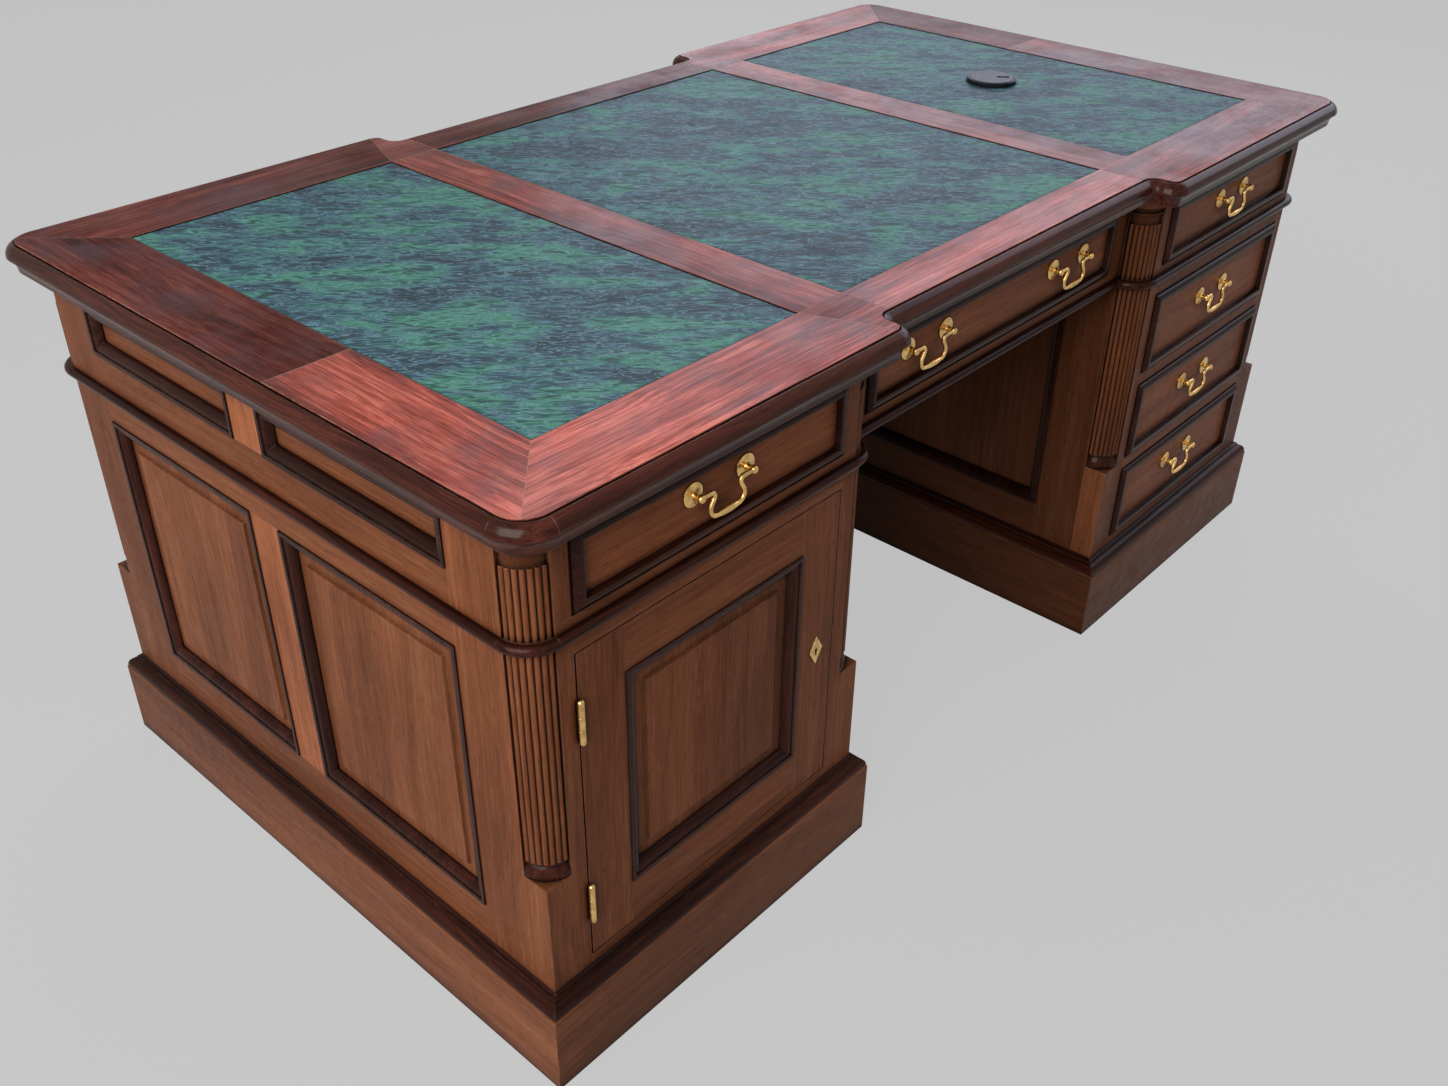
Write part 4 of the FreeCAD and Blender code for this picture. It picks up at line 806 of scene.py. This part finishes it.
class DESK_OT_finish_drawers(bpy.types.Operator):
    """Finish the drawers: polished fronts, painted lighter as sheen, and plain boxes"""

    bl_idname = "desk.finish_drawers"
    bl_label = "Finish drawers"

    def execute(self, context):
        for side in SIDES:
            for name in DRAWERS:
                node = "%s_%s_drawer" % (side, name)
                low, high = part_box(node)
                crest = max(-low.y, high.y)
                paint(node, lambda point: drawer_board(crest - abs(point.y)))
        return {"FINISHED"}


class DESK_OT_finish_doors(bpy.types.Operator):
    """Finish the doors' stiles, rails and panels"""

    bl_idname = "desk.finish_doors"
    bl_label = "Finish doors"

    def execute(self, context):
        for side in SIDES:
            paint(side + "_door", door_board)
        return {"FINISHED"}


def steps_between(low, high, roll, cell):
    """Places across a hide: its edge, the end of its rolled edge and an even grid between."""
    count = max(2, round((high - low - 2 * roll) / cell))
    inside = [low + roll + (high - low - 2 * roll) * index / count for index in range(count + 1)]
    return [low] + inside + [high]


def hide_surface(low, high, settings):
    """Points and cells of a hide's top: rolled down at its edges and a little uneven."""
    xs = steps_between(low.x, high.x, settings.roll, settings.cell)
    ys = steps_between(low.y, high.y, settings.roll, settings.cell)
    wide = len(xs)
    drop = settings.roll * ROLL_DROP
    points, cells = [], []
    for row, y in enumerate(ys):
        for column, x in enumerate(xs):
            edge = row in (0, len(ys) - 1) or column in (0, wide - 1)
            spot = Vector((x * SWELL_SCALE, y * SWELL_SCALE, SWELL_SLICE))
            swell = noise.noise(spot) * settings.swell
            points.append(Vector((x, y, high.z - (drop if edge else settings.swell - swell))))
    for row in range(len(ys) - 1):
        for column in range(wide - 1):
            start = row * wide + column
            cells.append((start, start + 1, start + wide + 1, start + wide))
    return points, cells


def bore(points, cells, centre, radius):
    """The cells left round a hole, with the points on its rim moved to its circle."""
    def away(point):
        return math.hypot(point.x - centre.x, point.y - centre.y)

    kept, cut = [], set()
    for cell in cells:
        middle = sum((points[index] for index in cell), Vector((0.0, 0.0, 0.0))) / len(cell)
        if away(middle) < radius:
            cut.update(cell)
        else:
            kept.append(cell)
    for index in cut.intersection(index for cell in kept for index in cell):
        share = radius / away(points[index])
        points[index].x = centre.x + (points[index].x - centre.x) * share
        points[index].y = centre.y + (points[index].y - centre.y) * share
    return kept


def closed_sheet(points, cells, floor):
    """Points and faces of a sheet with a flat back, closed all round its edges."""
    used = sorted({index for cell in cells for index in cell})
    new = {index: order for order, index in enumerate(used)}
    count = len(used)
    top = [points[index] for index in used]
    back = [Vector((point.x, point.y, floor)) for point in top]
    faces = [tuple(new[index] for index in cell) for cell in cells]
    sides = {(start, end) for face in faces for start, end in zip(face, face[1:] + face[:1])}
    rim = sorted((start, end) for start, end in sides if (end, start) not in sides)
    walls = [(end, start, start + count, end + count) for start, end in rim]
    backs = [tuple(index + count for index in reversed(face)) for face in faces]
    return top + back, faces + backs + walls


class DESK_OT_lay_leather(bpy.types.Operator):
    """Lay the three hides in the top"""

    bl_idname = "desk.lay_leather"
    bl_label = "Lay leather"

    def execute(self, context):
        settings = context.scene.desk_leather
        finishes = (hide_finish(settings), edge_shade_finish(settings))
        for name in HIDES:
            self.lay(context, name, settings, finishes)
        return {"FINISHED"}

    def lay(self, context, name, settings, finishes):
        """One hide in place of the plain leather, with painted shade on its rolled edge."""
        node = "leather_" + name
        low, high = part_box(node)
        points, cells = hide_surface(low, high, settings)
        if low.x < GROMMET.x < high.x:
            cells = bore(points, cells, GROMMET, HIDE_HOLE)
        points, faces = closed_sheet(points, cells, low.z)
        mesh = bpy.data.meshes.new("hide_" + name)
        mesh.from_pydata(points, [], faces)
        for finish in finishes:
            mesh.materials.append(finish)
        middle = (low + high) / 2
        reach = (high - low) / 2 - Vector((1.0, 1.0, 1.0)) * settings.roll
        for polygon in mesh.polygons:
            out = polygon.center - middle
            inside = abs(out.x) < reach.x and abs(out.y) < reach.y
            polygon.material_index = 0 if inside else 1
            polygon.use_smooth = inside and polygon.normal.z > 0.5
        hide = bpy.data.objects.new("hide_" + name, mesh)
        context.scene.collection.objects.link(hide)
        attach(hide, "desk")
        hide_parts(node)


class DESK_OT_polish_brass(bpy.types.Operator):
    """Polish the handles, hinges and escutcheons"""

    bl_idname = "desk.polish_brass"
    bl_label = "Polish brass"

    def execute(self, context):
        material = polished_brass(context.scene.desk_metal)
        nodes = ["hinge_leaves"]
        for side in SIDES:
            nodes += ["%s_%s_drawer_brass" % (side, name) for name in DRAWERS]
            nodes += ["%s_%s_bail" % (side, name) for name in BAILS]
            nodes.append(side + "_door_brass")
        for node in nodes:
            cover(node, material)
        # The keyholes' walls get painted shade
        for side in SIDES:
            self.paint_keyhole_shade(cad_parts[side + "_door_brass"].data)
        return {"FINISHED"}

    def paint_keyhole_shade(self, mesh):
        """Paint shade on the walls of an escutcheon's keyhole with the dark moulding finish: its round eye
        and the slot below.
        """
        mesh.materials.append(finish_of("mould_z_dark"))
        for polygon in mesh.polygons:
            beside = abs(abs(polygon.center.x) - KEYHOLE_X)
            drop = KEYHOLE_Z - polygon.center.z
            in_eye = math.hypot(beside, drop) < KEYHOLE_RADIUS
            in_slot = beside < KEYHOLE_RADIUS / 2 and 0.0 < drop < KEYHOLE_DROP
            if in_eye or in_slot:
                polygon.material_index = 1


class DESK_OT_fit_grommet(bpy.types.Operator):
    """Finish the cable grommet's liner and cap"""

    bl_idname = "desk.fit_grommet"
    bl_label = "Fit grommet"

    def execute(self, context):
        material = moulded_plastic(context.scene.desk_metal)
        cover("grommet_liner", material)
        cover("grommet_cap", material)
        return {"FINISHED"}


def soft_light(name, position, target, size, strength, tint):
    """A rectangular lamp turned towards a point, which the camera doesn't see."""
    lamp = bpy.data.lights.new(name, "AREA")
    lamp.shape = "RECTANGLE"
    lamp.size, lamp.size_y = size
    lamp.energy = strength
    lamp.color = tint
    made = bpy.data.objects.new(name, lamp)
    made.location = position
    made.visible_camera = False
    made.rotation_euler = (Vector(target) - Vector(position)).to_track_quat("-Z", "Y").to_euler()
    bpy.context.scene.collection.objects.link(made)


def seen_directly(tree):
    """1 for what the camera, a gloss or a clear surface sees, and 0 for the light that falls on the desk."""
    path = place(tree, "ShaderNodeLightPath")
    seen = sum_of(tree, "ADD", path.outputs["Is Camera Ray"], path.outputs["Is Glossy Ray"], clamp=True)
    return sum_of(tree, "ADD", seen, path.outputs["Is Transmission Ray"], clamp=True)


class DESK_OT_set_stage(bpy.types.Operator):
    """Set the camera, the pale floor and the soft light"""

    bl_idname = "desk.set_stage"
    bl_label = "Set stage"

    def execute(self, context):
        scene = context.scene
        stage = scene.desk_stage
        scene.view_settings.view_transform = "Standard"
        self.add_camera(scene, stage)
        self.add_floor(scene, stage)
        self.add_sky(scene, stage)
        for name, position, target, size, tint in LAMPS:
            soft_light(name + "_light", position, target, size, getattr(stage, name), tint)
        return {"FINISHED"}

    def add_camera(self, scene, stage):
        """The camera, turned by its azimuth, elevation and roll."""
        lens = bpy.data.cameras.new("camera")
        lens.sensor_width = SENSOR_WIDTH
        lens.lens = stage.lens
        camera = bpy.data.objects.new("camera", lens)
        scene.collection.objects.link(camera)
        flat = math.cos(stage.elevation)
        back = Vector((
            math.sin(stage.azimuth) * flat, -math.cos(stage.azimuth) * flat, math.sin(stage.elevation),
        ))
        right = (-back).cross(Vector((0.0, 0.0, 1.0))).normalized()
        up = right.cross(-back)
        facing = Matrix((right, up, back)).transposed() @ Matrix.Rotation(stage.roll, 3, "Z")
        camera.matrix_world = Matrix.Translation(stage.camera_place) @ facing.to_4x4()
        scene.camera = camera

    def add_floor(self, scene, stage):
        """A wide pale floor that is as bright as the background where it is seen."""
        mesh = bpy.data.meshes.new("floor")
        corners = [(x * FLOOR_REACH, y * FLOOR_REACH, 0.0) for x, y in ((-1, -1), (1, -1), (1, 1), (-1, 1))]
        mesh.from_pydata(corners, [], [(0, 1, 2, 3)])
        floor = bpy.data.objects.new("floor", mesh)
        scene.collection.objects.link(floor)
        material, tree, shader, _ = new_material("pale_floor")
        shader.inputs["Base Color"].default_value = solid(stage.floor)
        shader.inputs["Roughness"].default_value = FLOOR_ROUGHNESS
        glow = place(tree, "ShaderNodeEmission", {"Color": solid(stage.floor), "Strength": 1.0})
        share = sum_of(tree, "MULTIPLY", seen_directly(tree), FLOOR_GLOW)
        both = place(tree, "ShaderNodeMixShader", {
            0: share, 1: shader.outputs["BSDF"], 2: glow.outputs["Emission"],
        })
        output = next(node for node in tree.nodes if node.type == "OUTPUT_MATERIAL")
        tree.links.new(both.outputs[0], output.inputs["Surface"])
        mesh.materials.append(material)

    def add_sky(self, scene, stage):
        """An even light that falls on the desk, and the pale background that is seen."""
        world = bpy.data.worlds.new("studio")
        scene.world = world
        world.use_nodes = True
        tree = world.node_tree
        tree.nodes.clear()
        even = place(tree, "ShaderNodeBackground", {"Color": solid(stage.sky_tint), "Strength": stage.sky})
        pale = place(tree, "ShaderNodeBackground", {"Color": solid(stage.floor), "Strength": 1.0})
        both = place(tree, "ShaderNodeMixShader", {
            0: seen_directly(tree), 1: even.outputs["Background"], 2: pale.outputs["Background"],
        })
        place(tree, "ShaderNodeOutputWorld", {"Surface": both.outputs[0]})


class DESK_PT_finish(bpy.types.Panel):
    """Lists the desk's finishing steps and their settings"""

    bl_idname = "DESK_PT_finish"
    bl_label = "Partners desk"
    bl_space_type = "VIEW_3D"
    bl_region_type = "UI"
    bl_category = "Desk"

    def draw(self, context):
        for step in STEPS:
            self.layout.operator(step.bl_idname)
        for group in GROUPS:
            box = self.layout.box()
            settings = getattr(context.scene, group)
            for key in settings.__annotations__:
                box.prop(settings, key)


GROUPS = {
    "desk_wood": DeskWoodSettings,
    "desk_leather": DeskLeatherSettings,
    "desk_metal": DeskMetalSettings,
    "desk_stage": DeskStageSettings,
}
STEPS = (
    DESK_OT_finish_top,
    DESK_OT_lay_leather,
    DESK_OT_fit_grommet,
    DESK_OT_finish_case,
    DESK_OT_finish_drawers,
    DESK_OT_finish_doors,
    DESK_OT_polish_brass,
    DESK_OT_set_stage,
)
CLASSES = tuple(GROUPS.values()) + STEPS + (DESK_PT_finish,)


def register():
    """Register the classes and put the settings on the scene."""
    for made in CLASSES:
        bpy.utils.register_class(made)
    for key, group in GROUPS.items():
        setattr(bpy.types.Scene, key, bpy.props.PointerProperty(type=group))


def unregister():
    """Take the settings and classes away again."""
    for key in GROUPS:
        delattr(bpy.types.Scene, key)
    for made in reversed(CLASSES):
        bpy.utils.unregister_class(made)


def main():
    """Finish the desk step by step."""
    register()
    bpy.ops.desk.finish_top()
    bpy.ops.desk.lay_leather()
    bpy.ops.desk.fit_grommet()
    bpy.ops.desk.finish_case()
    bpy.ops.desk.finish_drawers()
    bpy.ops.desk.finish_doors()
    bpy.ops.desk.polish_brass()
    bpy.ops.desk.set_stage()


if __name__ == "__main__":
    main()
